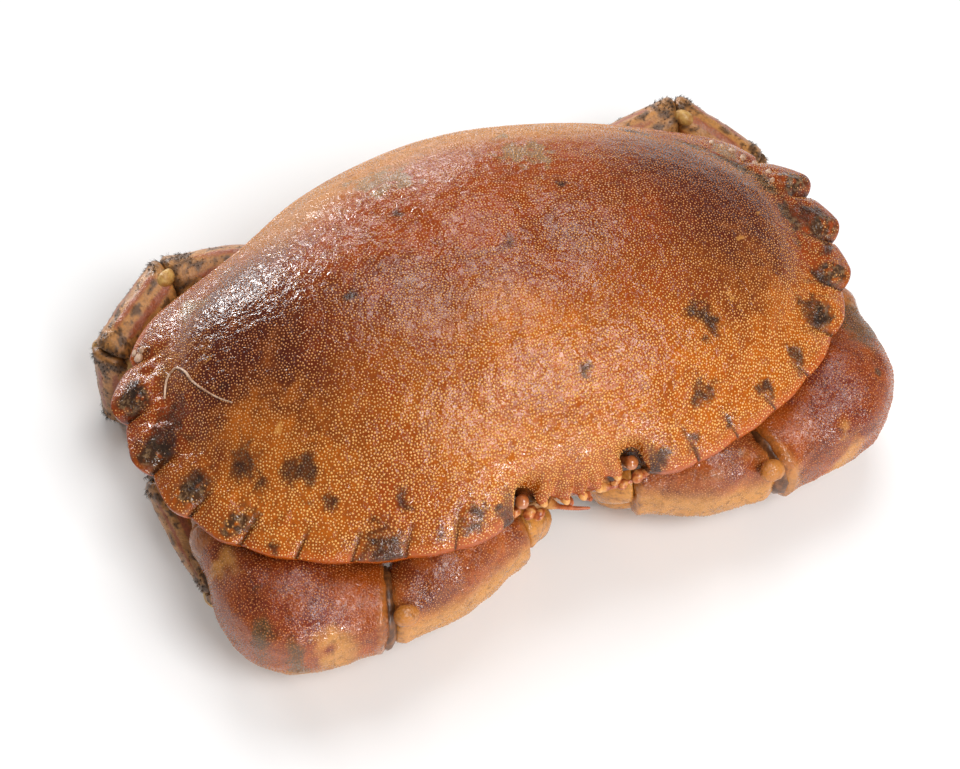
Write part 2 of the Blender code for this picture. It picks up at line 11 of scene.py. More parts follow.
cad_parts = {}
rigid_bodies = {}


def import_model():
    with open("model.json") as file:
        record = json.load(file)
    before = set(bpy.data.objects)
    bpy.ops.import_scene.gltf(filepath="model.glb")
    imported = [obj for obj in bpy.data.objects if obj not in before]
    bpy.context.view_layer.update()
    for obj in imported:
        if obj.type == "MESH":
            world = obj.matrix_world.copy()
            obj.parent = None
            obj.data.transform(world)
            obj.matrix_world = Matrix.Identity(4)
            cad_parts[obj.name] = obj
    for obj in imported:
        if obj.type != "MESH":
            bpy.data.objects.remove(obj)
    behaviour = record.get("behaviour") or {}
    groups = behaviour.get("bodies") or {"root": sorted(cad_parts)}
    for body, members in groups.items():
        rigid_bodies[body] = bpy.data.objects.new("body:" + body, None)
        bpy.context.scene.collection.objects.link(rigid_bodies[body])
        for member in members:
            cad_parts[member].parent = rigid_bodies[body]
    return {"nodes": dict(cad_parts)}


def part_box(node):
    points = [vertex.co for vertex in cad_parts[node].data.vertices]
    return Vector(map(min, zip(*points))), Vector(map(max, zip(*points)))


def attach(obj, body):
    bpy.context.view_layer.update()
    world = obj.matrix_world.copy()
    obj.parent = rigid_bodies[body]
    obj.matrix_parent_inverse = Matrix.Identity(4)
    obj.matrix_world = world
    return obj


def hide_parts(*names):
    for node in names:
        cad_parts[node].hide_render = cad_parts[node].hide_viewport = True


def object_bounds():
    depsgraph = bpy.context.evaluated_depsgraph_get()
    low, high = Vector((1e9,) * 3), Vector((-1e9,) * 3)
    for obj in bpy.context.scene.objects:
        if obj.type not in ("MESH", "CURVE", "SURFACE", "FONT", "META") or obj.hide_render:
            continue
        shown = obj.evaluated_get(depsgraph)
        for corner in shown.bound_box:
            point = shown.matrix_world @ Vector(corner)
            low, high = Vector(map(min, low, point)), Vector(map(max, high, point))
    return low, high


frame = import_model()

bl_info = {
    "name": "Cooked brown crab",
    "version": (1, 0, 0),
    "blender": (4, 5, 0),
    "location": "3D View > Sidebar > Crab",
    "description": "Builds a whole cooked brown crab over its solid parts",
    "category": "Object",
}

CAD_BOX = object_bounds()
MM = 0.001

# The shell's plan, in millimetres, about the middle of the shell and the level of its margin.
SHELL_WIDTH = 162.0
LOBE_REACH = 3.4
LOBE_TIP_SHARE = 0.7
LOBE_NOTCH_SHARE = 0.15
LEAST_LOBE = 0.24
HALF_WIDTH = SHELL_WIDTH / 2 - LOBE_TIP_SHARE * LOBE_REACH
CENTRE_Y = 3.0
FRONT_REACH = 50.0
REAR_REACH = 47.5
FRONT_FULLNESS = 2.4
REAR_FULLNESS = 1.78
# The right side of the back margin is pressed in a little at one angle and stands out at another.
DENT_ANGLE = 2.47
DENT_SPREAD = 0.2
DENT_DEPTH = 0.03
BULGE_ANGLE = 2.92
BULGE_SPREAD = 0.22
BULGE_HEIGHT = 0.034
DOME_HEIGHT = 26.0
LIP = 2.2
BODY_DEPTH = 18.0
LOBES = 9
FIRST_LOBE_WIDTH = 9.6
LOBE_GROWTH = 0.52
EDGE_BAND = 0.12
# A small tooth behind the last lobe: height, and place and spread as shares of the back margin.
REAR_TOOTH = 1.8
REAR_TOOTH_AT = 0.1
REAR_TOOTH_SPREAD = 0.09
# Points along each stretch of the margin, and the rings of the shell: runs of shares from the middle out,
# the rounded lip as share and part of its drop, and the underside.
FRONT_STEPS = 5
LOBE_STEPS = 26
REAR_STEPS = 64
TOP_RINGS = ((0.02, 0.8, 52), (0.808, 0.94, 22), (0.945, 1.0, 16))
LIP_RINGS = ((0.9992, 0.22), (0.9975, 0.5), (0.993, 0.8), (0.985, 1.0))
UNDER_RINGS = (0.965, 0.94, 0.9, 0.85, 0.8, 0.74, 0.68, 0.63, 0.58)
HEAD_SHIFT = 1.9
FRONT_OUTLINE = [
    (0.0, -44.0), (1.8, -41.8), (3.7, -43.7), (5.9, -41.0), (8.3, -42.6), (9.6, -41.4),
    (9.7, -39.2), (11.0, -37.9), (12.6, -37.8), (14.0, -38.9), (14.5, -41.4), (15.2, -43.8),
]
FRONT_EDGE_ANGLE = 0.335
FRONT_DIP = 3.6
# The middle of the left eye's socket, round which the shell is painted dark as shade.
ORBIT = (12.3, -40.0, -1.5)
# Low swellings of the dome: middle x and y, half-sizes, height. Those off the midline are mirrored.
SWELLINGS = [
    (0.0, -16.0, 15.0, 12.0, 1.3), (0.0, 21.0, 10.0, 9.0, 1.0), (39.0, 6.0, 20.0, 17.0, 1.1),
    (30.0, -24.0, 12.0, 9.0, 0.7), (13.0, 6.0, 4.0, 12.0, -0.8),
]
# Marks on the shell as (x, y, radius): dark stains, ochre flecks and rubbed grey patches.
STAINS = [
    (36.5, -22.2, 3), (35.1, -27.5, 0.9), (29.7, -36.8, 1.5), (-39.7, -41.5, 4), (-33.9, -35.8, 1.6),
    (-29.1, -43.2, 1.1), (-21.7, -42.1, 2.3), (-16.4, -43, 1.2), (-47, -30.4, 1.2), (-60.2, -32.5, 1.1),
    (-59.9, -15.9, 3.4), (-72.4, -1.6, 4.4), (-75.9, 11.1, 2.2), (-59.2, -0.7, 1),
    (-70.8, 20.2, 1.8), (69.1, -17.2, 2.4), (74, -10, 2.2), (74, -0.3, 3.4), (-70.1, -13.8, 1.8),
    (-58.6, -21.7, 1.6), (-50.9, -23.2, 3.1), (4, 3, 2), (-14, 20, 1.4), (20, 14, 1.1),
    (-30, 4, 1.2), (8, -27, 1.6),
    (63.0, -23.9, 3.2), (54.6, -32.8, 2.2), (45.6, -37.0, 2.0), (31.0, -35.5, 2.2),
    (35.2, -41.3, 1.1), (25.7, -42.8, 1.5), (19.3, -43.2, 1.7),
]
FLECKS = [
    (-60.3, 6.6, 1.3), (-58.0, -7.4, 1.3), (-60.8, 0.0, 0.9), (-62.1, 13.5, 0.9), (62.5, 13.3, 1.3),
    (60.8, 5.9, 1.3), (50.3, 0.2, 1.3), (60.6, -1.3, 0.9), (-52.3, -13.9, 1.8), (52.3, -7.8, 2.0),
    (56.1, -8.7, 0.9), (52.3, -13.8, 0.9), (44.1, -20.1, 2.4), (32.6, -28.0, 1.8), (-22.0, -8.0, 1.4),
    (12.0, 30.0, 1.6), (-36.0, 22.0, 1.4),
]
OCHRE = [
    (28.1, -41.5, 7.0), (35.1, -35.3, 8.0), (-52.7, -27.6, 9.0), (-57.0, -13.7, 8.0), (64.5, -26.0, 7.0),
    (10.0, -38.0, 9.0), (-12.0, -36.0, 8.0), (-66.0, 12.0, 7.0), (0.0, -14.0, 10.0), (48.0, -32.0, 7.0),
]
GREY = [(17.8, 27.3, 7.0), (-15.6, 32.0, 5.0), (64.0, 22.6, 4.0), (-10.4, 30.8, 5.0), (-60.0, 24.0, 4.0)]
# A pale thread that lies on the right side of the shell, and bits of grit as (x, y, size).
THREAD = [
    (-70.6, 5.5), (-69.9, 7.6), (-69.0, 9.3), (-67.9, 10.2), (-66.3, 10.1), (-65.1, 7.6), (-64.4, 4.5),
    (-62.6, 0.5), (-60.7, -2.4), (-58.7, -4.6),
]
THREAD_SIZES = ((0.22, 0.3, 0.14), (0.16, 0.16, 0.1))
THREAD_RISE = 0.3
GRIT = [
    (-72.6, 19.4, 1.2), (-71.4, 20.6, 0.9), (-73.0, 21.2, 0.8), (66.5, 21.5, 1.1), (68.0, 19.0, 1.0),
    (69.6, 16.4, 0.8), (71.0, 12.6, 1.0), (70.4, 9.8, 0.7), (63.2, 25.2, 0.9), (65.0, 23.6, 0.7),
]

SIDES = {"left": 1, "right": -1}
# How far short of a joint's middle each segment ends.
JOINT_GAP = 0.1
# Angles of the rings that round off a limb's end.
CAP_ANGLES = (0.25, 0.5, 0.75, 0.95, 1.15, 1.35)

# Walking legs of the left side: base, knee, wrist, ankle and tip.
LEG_JOINTS = {
    "leg_1": [(16, -5, -24), (69, 3, -14.5), (77.2, -1.5, -16.5), (74, -24, -26), (69.5, -37, -34.5)],
    "leg_2": [(16, 6, -24), (66, 15.5, -19.5), (72.5, 7, -27.5), (69, -12, -31.8), (75.5, -26, -34.8)],
    "leg_3": [(16, 15, -24), (57.5, 28, -18.5), (59.5, 19, -28.5), (52, 1, -31.8), (43, -16, -34.8)],
    "leg_4": [(14, 25, -24.5), (62.5, 44, -11), (77, 31, -12.5), (79.5, 29, -31.8), (58, 29, -34.6)],
}
# How far the last leg's upper segment bows out at its middle, and how its two far joints shift on a side.
LEG_BOWS = {"leg_4": (2.0, 6.5, 3.5)}
LEG_SHIFTS = {("leg_4", "left"): (-1.5, -1.5, -4.6), ("leg_4", "right"): (1.5, 0.5, 0.0)}
LEG_WIDTHS = (4.6, 5.4, 4.8, 3.9, 0.5)
LEG_HEIGHTS = (4.6, 5.2, 4.6, 4.0, 0.5)
SEGMENTS = ("merus", "carpus", "propodus", "dactylus")
SEGMENT_SWELL = (1.06, 1.05, 1.08, 0.95)
# Yellow knobs beside a leg's joints: half-sizes, reach as a share of the leg's width, and place ahead.
LEG_KNOB = (2.5, 1.8, 1.9)
LEG_KNOB_REACH = 0.86
LEG_KNOB_AHEAD = 1.4
# Angles round a leg at which its rows of bristles stand.
BRISTLE_ROWS = (0.25, 0.95, 1.75, 2.6, -2.7, -1.1)

# Cheliped of the left side.
CLAW_BASE = (12, -16, -24)
CLAW_ELBOW = (70, -19, -14)
CLAW_MIDDLE = (62.5, -36.5, -16.5)
CLAW_WRIST = (44, -44.5, -17)
FINGER_ROOTS = {"right": (15.5, -37.8, -18), "left": (18.8, -38.2, -18)}
CLAW_MERUS = ((6, 8, 8.5), (6, 7.5, 8))
CLAW_CARPUS = ((8.5, 14.5, 9.0), (8, 14, 10.6))
CLAW_PALM = ((7.5, 9, 7.0), (10.5, 13.0, 10.2))
FIXED_FINGER = ((4.6, 4.2, 1.2), (4.4, 3.8, 1.2))
MOVING_FINGER = ((7.4, 4.8, 1.1), (8.2, 4.8, 1.1))
CLAW_SHIFTS = {"right": (1.0, 0.2, 0), "left": (0.9, 3.2, 0)}
PALM_SHIFTS = {"right": (0, -0.9, 0), "left": (-0.8, 1.4, 0)}
FIXED_FINGER_PATH = [(3, 1.5, -6), (-4, 4.5, -11.6), (-9.5, 14, -16.6)]
MOVING_FINGER_PATH = [(2, 0, 3.5), (-6.5, 1.5, -0.5), (-10.5, 10, -12.5)]
FINGER_JOINT = 3.0
# Between which shares of a finger its black tip begins.
CLAW_TIP = (0.6, 0.74)
# Half-sizes of the soft skin in the joints, and the palm's round knob: place from the wrist and half-sizes.
WRIST_PAD = (2.6, 8.2, 9.6)
ELBOW_PAD = (2.6, 6.4, 8.0)
PALM_KNOB_PLACE = (-2.2, -6.5, 8.6)
PALM_KNOB = (2.7, 2.4, 2.5)

# Marks on the wrist segments as (kind, x, y, radius). The blush marks hold real red blush and purple-brown
# painted sheen.
MARK_KINDS = ("olive", "dirt", "low", "blush")
WRIST_MARKS = {
    "right": [
        ("dirt", -66.4, -36.9, 0.7), ("dirt", -62.7, -40.2, 0.7), ("olive", -68.0, -45.0, 2.4),
        ("olive", -63.5, -50.5, 1.8), ("low", -54.5, -54.5, 4.5), ("blush", -53.3, -52.4, 2.4),
        ("low", -70.0, -28.0, 3.5), ("dirt", -45.8, -54.2, 0.8), ("blush", -56.5, -46.5, 5.5),
    ],
    "left": [
        ("olive", 76.4, -27.4, 4.6), ("olive", 78.8, -22.6, 4.4), ("blush", 61.6, -39.4, 9.0),
        ("low", 63.9, -52.1, 4.0), ("low", 47.0, -54.0, 4.5), ("dirt", 73.0, -38.0, 1.0),
    ],
}
# How much lighter and yellower each wrist segment is.
WRIST_WARMTH = {"right": 0.0, "left": -0.3}

# Head pieces of the left side, and the abdomen's middle line.
EYE_PATH = [(9.8, -36.0, -4.6), (11.2, -38.6, -2.7), (12.2, -40.2, -1.3)]
ANTENNA_PATHS = {
    "left": [
        (6.0, -38.5, -8.0), (5.7, -41.0, -5.9), (7.2, -42.1, -5.1), (10.5, -42.4, -4.9), (14.8, -42.6, -4.9),
    ],
    "right": [
        (6.0, -38.5, -8.0), (6.0, -40.6, -5.8), (4.4, -42.6, -4.8), (1.6, -44.1, -4.7), (-0.8, -44.9, -4.9),
    ],
}
# Orange knobs beside the eyes as (x, y, z, size).
CORNER_KNOBS = [
    (-7.4, -42.6, -4.6, 1.15), (-9.0, -41.6, -4.4, 1.3), (-13.6, -40.9, -3.9, 1.4),
    (-11.6, -40.2, -4.6, 1.1), (-16.0, -42.6, -3.4, 1.2), (10.4, -41.2, -4.4, 1.2),
    (11.4, -42.6, -4.8, 1.0), (14.9, -42.2, -4.2, 1.3), (17.2, -41.8, -3.6, 1.1),
]
# Rounded tips of the front teeth as (x, y, z, size).
TEETH = [
    (0.0, -43.1, -1.7, 1.25), (3.7, -42.9, -1.5, 1.15), (-3.7, -42.9, -1.5, 1.15), (8.2, -41.8, -1.2, 1.2),
    (-8.2, -41.8, -1.2, 1.2),
]
TEETH_PALE_Y = -42.7
EYE_SIZES = (1.15, 1.1, 1.5)
ANTENNA_SIZES = (1.55, 1.15, 0.52, 0.42, 0.3)
ANTENNULE_PATH = [(2.4, -38.5, -8.4), (2.0, -41.2, -6.8), (2.3, -42.6, -6.3)]
ANTENNULE_SIZES = (1.2, 1.0, 0.5)
FOOT_JAW_PATH = [(5.4, -38.0, -9.0), (5.4, -34.9, -17.0), (5.2, -29.8, -26.5)]
FOOT_JAW_SIZES = ((4.4, 4.8, 4.4), (0.9, 1.1, 1.0))
FOOT_JAW_UP = (0, -1, 0.4)
ABDOMEN_PATH = [(43.4, -10.6), (44.2, -18), (38.8, -27.9), (28, -32.3), (12, -32.3), (-5, -32)]
ABDOMEN_WIDTHS = (12, 14, 15, 15.5, 13.5, 6)
ABDOMEN_THICKNESS = 1.5
ABDOMEN_UP = (0, 0.6, 1)
# Seams of the chest by y at the midline, and of the abdomen by shares of its length.
CHEST_SEAMS = (-14, -4, 6, 15, 24)
TAIL_SEAMS = (0.12, 0.27, 0.42, 0.57, 0.72, 0.86)

# Scatters: how many tries fall on a spacing's square, the most triangles in a piece, and the bake map's
# width in millimetres of shell and half-size of a patch.
GRANULE_PACKING = 6.0
TUFT_PACKING = 3.0
PIECE_TRIANGLES = 190000
BAKE_WIDTH = 170
BAKE_PATCH = 0.0015

# Camera: where it looks from, in degrees, and at what point of the shell's plan.
CAMERA_AZIMUTH = -23.4
CAMERA_ELEVATION = 60.05
CAMERA_ROLL = 1.59
CAMERA_DISTANCE = 374.83
CAMERA_TARGET = (-8.2, -12.26, 0.0)
CAMERA_LENS = 67.125
SENSOR_WIDTH = 36.0

# Studio: each lamp's name, place, width, power and aim; the sky's light; the floor's half-width and tone.
LAMPS = (
    ("key", (0.16, 0.33, 0.82), 0.4, 3.0, (0.0, 0.0, 0.03)),
    ("front", (0.2, -0.42, 0.75), 0.36, 4.3, (0.0, -0.02, 0.03)),
    ("low_front", (0.08, -0.85, 0.22), 0.14, 3.4, (0.0, -0.02, 0.03)),
    ("rear", (-0.27, 0.75, 0.17), 0.15, 2.8, (-0.04, 0.01, 0.04)),
    ("rear_right", (0.13, 0.85, 0.17), 0.22, 1.4, (0.0, 0.02, 0.04)),
)
SKY_LIGHT = 0.22
FLOOR_REACH = 3.0
FLOOR_TONE = (0.93, 0.93, 0.93)

low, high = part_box("carapace")
foot_middle = (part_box("leg_2_dactylus_left")[1].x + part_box("leg_2_dactylus_right")[0].x) / 2
FLOOR = CAD_BOX[0].z
# From the shell's plan to the model: sideways, back and up.
SHIFT = np.array([
    foot_middle / MM - HEAD_SHIFT, high.y / MM - CENTRE_Y - REAR_REACH, low.z / MM + BODY_DEPTH,
])


def smooth_step(low, high, value):
    t = np.clip((np.asarray(value, float) - low) / (high - low), 0.0, 1.0)
    return t * t * (3 - 2 * t)


def bell(value, middle, width):
    """1 at the middle, falling off smoothly within about a width of it."""
    return np.exp(-(((value - middle) / width) ** 2))


def unit(vector):
    return vector / np.linalg.norm(vector)


def oval_radius(angle):
    """How far the shell's oval reaches at an angle round its middle."""
    c, s = np.cos(angle), np.sin(angle)
    reach = np.where(s < 0, FRONT_REACH, REAR_REACH)
    full = np.where(s < 0, FRONT_FULLNESS, REAR_FULLNESS)
    uneven = 1 - DENT_DEPTH * bell(angle, DENT_ANGLE, DENT_SPREAD)
    uneven = uneven + BULGE_HEIGHT * bell(angle, BULGE_ANGLE, BULGE_SPREAD)
    return uneven * (np.abs(c / HALF_WIDTH) ** full + np.abs(s / reach) ** full) ** (-1 / full)


def on_oval(angle, share):
    """Plan position at an angle and a share of the way out; the front bows in before the mouth."""
    radius = oval_radius(angle)
    x, y = radius * np.cos(angle), radius * np.sin(angle)
    dip = np.where(y < 0, FRONT_DIP * (1 - smooth_step(8, 26, np.abs(x))) * share**5, 0.0)
    return share * x, CENTRE_Y + share * y + dip


def fissure_angles():
    """Angles of the fissures on the left side, by the lobes' growing widths along the margin."""
    angle = FRONT_EDGE_ANGLE - math.pi / 2
    step = 0.002
    edges, run, target, width = [angle], 0.0, FIRST_LOBE_WIDTH, FIRST_LOBE_WIDTH
    while len(edges) <= LOBES:
        here, there = float(oval_radius(angle)), float(oval_radius(angle + step))
        run += math.hypot(there * math.cos(step) - here, there * math.sin(step))
        angle += step
        if run >= target:
            edges.append(angle)
            width += LOBE_GROWTH
            target += width
    return edges


def spline(points, share):
    """Points at the given shares along a smooth curve."""
    p = np.array(points, float)
    p = np.vstack([2 * p[0] - p[1], p, 2 * p[-1] - p[-2]])
    u = np.asarray(share, float) * (len(p) - 3)
    k = np.minimum(u.astype(int), len(p) - 4)
    t = (u - k)[:, None]
    a, b, c, d = p[k], p[k + 1], p[k + 2], p[k + 3]
    return 0.5 * (2 * b + (c - a) * t + (2 * a - 5 * b + 4 * c - d) * t**2 + (3 * b - a - 3 * c + d) * t**3)


def reading(values, share):
    """Values read from an evenly spaced list, eased between its entries."""
    values = np.array(values, float)
    u = np.asarray(share, float) * (len(values) - 1)
    k = np.minimum(u.astype(int), len(values) - 2)
    t = smooth_step(0.0, 1.0, u - k)
    return values[k] + (values[k + 1] - values[k]) * t


def rough(points, size, seed=0.0, octaves=3):
    """Smooth noise in about -1 to 1 at points in millimetres, with bumps about so wide."""
    offset = Vector((seed * 17.3, seed * 5.1, seed * 9.7))
    return np.array([noise.fractal(Vector(p) / size + offset, 0.7, 2.0, octaves) for p in points])


def lobe_rise(t, tip):
    """How far a lobe stands out at a share of its length, from 0 at its notches to 1 at its tip."""
    if t < tip:
        return (1 - (1 - t / tip) ** 2) ** 0.5
    return ((1 - t) / (1 - tip)) ** 0.8


def margin_samples():
    """The margin's points on the left side: angle, shift x and y, lobe lift, lobe number and share."""
    rows = []
    shares = np.linspace(0, 1, (len(FRONT_OUTLINE) - 1) * FRONT_STEPS + 1)
    for t, (x, y) in zip(shares, spline(FRONT_OUTLINE, shares)):
        angle = FRONT_EDGE_ANGLE * t - math.pi / 2
        oval_x, oval_y = on_oval(np.array(angle), 1.0)
        rows.append((angle, x - float(oval_x), y - float(oval_y), 0.0, -1.0, 0.0))
    edges = fissure_angles()
    for i in range(LOBES):
        size = LOBE_REACH * (LEAST_LOBE + (1 - LEAST_LOBE) * float(smooth_step(3, LOBES - 1, i)))
        tip = 0.5 - 0.2 * float(smooth_step(3, 6, i))
        for k in range(1, LOBE_STEPS + 1):
            t = 0.5 - 0.5 * math.cos(math.pi * k / LOBE_STEPS)
            rise = lobe_rise(t, tip) if k < LOBE_STEPS else 0.0
            angle = edges[i] + (edges[i + 1] - edges[i]) * t
            reach = size * ((LOBE_TIP_SHARE + LOBE_NOTCH_SHARE) * rise - LOBE_NOTCH_SHARE)
            rows.append((angle, reach * math.cos(angle), reach * math.sin(angle), 0.5 * size * rise, i, t))
    start = edges[-1]
    for k in range(1, REAR_STEPS + 1):
        t = k / REAR_STEPS
        angle = start + (math.pi / 2 - start) * t
        tooth = REAR_TOOTH * float(bell(t, REAR_TOOTH_AT, REAR_TOOTH_SPREAD))
        rows.append((angle, tooth * math.cos(angle), tooth * math.sin(angle), 0.0, -2.0, t))
    return np.array(rows)


def whole_margin():
    left = margin_samples()
    right = left[-2:0:-1].copy()
    right[:, 0] = math.pi - right[:, 0]
    right[:, 1] *= -1
    return np.vstack([left, right])


def edge_share(share, shift_x, shift_y):
    """How much of the margin's own shape shows at a share of the way out: all of it at the rim."""
    power = 1.0 + 2.2 * bell(np.hypot(shift_x, shift_y), 0, 1.6)
    return np.maximum(0.0, 1 - (1 - share) / EDGE_BAND) ** power


def fissure_distance(angle, radius):
    """Distance in millimetres to the nearest line that runs in from a fissure, and that fissure's number."""
    folded = np.where(np.cos(angle) < 0, math.pi - angle, angle)
    best, number = np.full(np.shape(angle), 99.0), np.zeros(np.shape(angle))
    for i, edge in enumerate(fissure_angles()):
        far = np.abs((folded - edge + math.pi) % (2 * math.pi) - math.pi) * radius
        number = np.where(far < best, i, number)
        best = np.minimum(best, far)
    return best, number


def shell_top(share, margin):
    """Heights of the upper surface over the whole margin at one share of the way out."""
    angle, shift_x, shift_y, lift = margin[:, 0], margin[:, 1], margin[:, 2], margin[:, 3]
    front = np.maximum(0.0, -np.sin(angle)) ** 1.5
    rear = np.maximum(0.0, np.sin(angle)) ** 1.5
    dome = (DOME_HEIGHT - 1.2) * np.maximum(0.0, 1 - share**2.4) ** (1.0 - 0.25 * front - 0.3 * rear)
    x, y = on_oval(angle, share)
    swell = np.zeros_like(x)
    for mid_x, mid_y, half_x, half_y, height in SWELLINGS:
        for side in (1, -1) if mid_x else (1,):
            swell += height * np.exp(-(((x - side * mid_x) / half_x) ** 2) - ((y - mid_y) / half_y) ** 2)
    side_groove = 1.2 * np.abs(np.cos(angle)) ** 4 * bell(share, 0.87, 0.05)
    rear_groove = rear**3 * bell(share, 0.93, 0.03)
    droop = 1.8 * bell(x, 0, 9) * front * smooth_step(0.85, 1.0, share)
    bead = 0.55 * smooth_step(0.2, 0.6, np.sin(angle)) * bell(share, 0.984, 0.011)
    level = dome + swell * (1 - share**4) - side_groove - rear_groove - droop + bead
    own = edge_share(share, shift_x, shift_y)
    near, number = fissure_distance(angle, oval_radius(angle) * share)
    inward = oval_radius(angle) * (1 - share)
    side_lobe = smooth_step(3.5, 6.5, number)
    slit = (0.55 + 0.25 * side_lobe) * bell(near, 0, 0.35 + 0.35 * side_lobe)
    slit *= 1 - smooth_step(1.5 + 1.5 * side_lobe, 5.0 + 2 * side_lobe, inward)
    valley = 0.5 * side_lobe * bell(near, 0, 2.2) * bell(inward, 4.5, 3.5)
    cushion = 0.35 * np.minimum(1.0, near / 3.0) * bell(inward, 3.0, 2.4) * (margin[:, 4] >= 0)
    return level + own * lift - slit - valley + cushion


def on_body(share, margin, level):
    """Points of one ring of the shell: the oval, the margin's own shape and the head's shift sideways."""
    x, y = on_oval(margin[:, 0], share)
    own = edge_share(share, margin[:, 1], margin[:, 2])
    x, y = x + own * margin[:, 1], y + own * margin[:, 2]
    head = (1 - smooth_step(12, 24, np.abs(x))) * smooth_step(-20, -38, y)
    return np.column_stack([x + HEAD_SHIFT * head, y, np.broadcast_to(level, x.shape)])


def under_level(share):
    """Height of the shell's underside, which runs in and down to the chest."""
    inward = np.clip((1 - share) / 0.42, 0.0, 1.0)
    return -LIP - (BODY_DEPTH - LIP) * inward**0.9


def closed_skin(rings, first_pole, last_pole):
    """Points and quads over rings of equal count, closed by a pole at each end."""
    count = len(rings[0])
    points = np.vstack([[first_pole], *rings, [last_pole]])
    k = np.arange(count)
    after = (k + 1) % count
    faces = [(0, 1 + b, 1 + a) for a, b in zip(k, after)]
    for r in range(len(rings) - 1):
        here, there = 1 + r * count, 1 + (r + 1) * count
        faces += list(zip(here + k, here + after, there + after, there + k))
    end, base = len(points) - 1, 1 + (len(rings) - 1) * count
    faces += [(end, base + a, base + b) for a, b in zip(k, after)]
    return points, faces


def linked(name, data):
    """A new object of the scene that holds the given data."""
    obj = bpy.data.objects.new(name, data)
    bpy.context.scene.collection.objects.link(obj)
    return obj


def mesh_object(name, points, faces):
    """A smooth mesh object from points in millimetres on the shell's plan."""
    mesh = bpy.data.meshes.new(name)
    mesh.from_pydata(((points + SHIFT) * MM).tolist(), [], [tuple(map(int, f)) for f in faces])
    mesh.validate()
    obj = linked(name, mesh)
    face_out(mesh)
    return obj


def face_out(mesh):
    """Turns all faces outward and shades them smooth."""
    bm = bmesh.new()
    bm.from_mesh(mesh)
    bmesh.ops.recalc_face_normals(bm, faces=bm.faces)
    bm.to_mesh(mesh)
    bm.free()
    mesh.shade_smooth()


def plan_points(mesh):
    """The mesh's points in millimetres on the shell's plan."""
    co = np.empty(len(mesh.vertices) * 3)
    mesh.vertices.foreach_get("co", co)
    return co.reshape(-1, 3) / MM - SHIFT


def set_points(mesh, points):
    mesh.vertices.foreach_set("co", ((points + SHIFT) * MM).ravel())
    mesh.update()


def normals_of(mesh):
    out = np.empty(len(mesh.vertices) * 3)
    mesh.vertex_normals.foreach_get("vector", out)
    return out.reshape(-1, 3)


def lift_off_floor(points, gap=0.0):
    """Raises points that would sink into the floor."""
    points[:, 2] = np.maximum(points[:, 2], FLOOR / MM - SHIFT[2] + gap)
    return points


def push_out(mesh, height, gap=0.0):
    """Moves a mesh's points out along its normals, in millimetres, but not into the floor."""
    set_points(mesh, lift_off_floor(plan_points(mesh) + normals_of(mesh) * height[:, None], gap))


def store(mesh, **fields):
    """Keeps values or vectors at the mesh's points, one attribute for each name."""
    for name, values in fields.items():
        values = np.asarray(values, np.float32)
        flat = values.ndim == 1
        kind = "FLOAT" if flat else "FLOAT_VECTOR"
        layer = mesh.attributes.get(name) or mesh.attributes.new(name, kind, "POINT")
        layer.data.foreach_set("value" if flat else "vector", values.ravel())


def stored(mesh, name, width=1):
    out = np.empty(len(mesh.vertices) * width, np.float32)
    mesh.attributes[name].data.foreach_get("value" if width == 1 else "vector", out)
    return out if width == 1 else out.reshape(-1, width)


def patches(points, marks, drift, inner=0.1, outer=1.9):
    """How deep each point lies in the nearest of some uneven marks, from 0 to 1."""
    total = np.zeros(len(points))
    for x, y, radius in marks:
        far = np.hypot(points[:, 0] - x + drift[:, 0] * radius, points[:, 1] - y + drift[:, 1] * radius)
        total = np.maximum(total, 1 - smooth_step(radius * inner, radius * outer, far))
    return total


def settle(obj, nodes, slot, *materials):
    """Finishes a piece: its materials, the part it rides on and the CAD nodes that it stands for."""
    obj.data.materials.clear()
    for material in materials:
        obj.data.materials.append(material)
    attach(obj, "root")
    if nodes:
        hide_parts(*nodes)
    return obj


class Value:
    """A socket of a material; arithmetic on it adds Math nodes."""

    def __init__(self, paint, socket):
        self.paint, self.socket = paint, socket

    def math(self, operation, *values, clamp=False):
        return self.paint.add("ShaderNodeMath", {"operation": operation, "use_clamp": clamp}, values)

    def __add__(self, other):
        return self.math("ADD", self, other)

    def __radd__(self, other):
        return self.math("ADD", other, self)

    def __sub__(self, other):
        return self.math("SUBTRACT", self, other)

    def __rsub__(self, other):
        return self.math("SUBTRACT", other, self)

    def __mul__(self, other):
        return self.math("MULTIPLY", self, other)

    def __rmul__(self, other):
        return self.math("MULTIPLY", other, self)

    def over(self, low, high):
        """0 at low and 1 at high, eased."""
        values = {"Value": self, "From Min": low, "From Max": high}
        return self.paint.add("ShaderNodeMapRange", {"interpolation_type": "SMOOTHSTEP"}, values)

    def held(self):
        """The value kept between 0 and 1."""
        return self.math("ADD", self, 0.0, clamp=True)


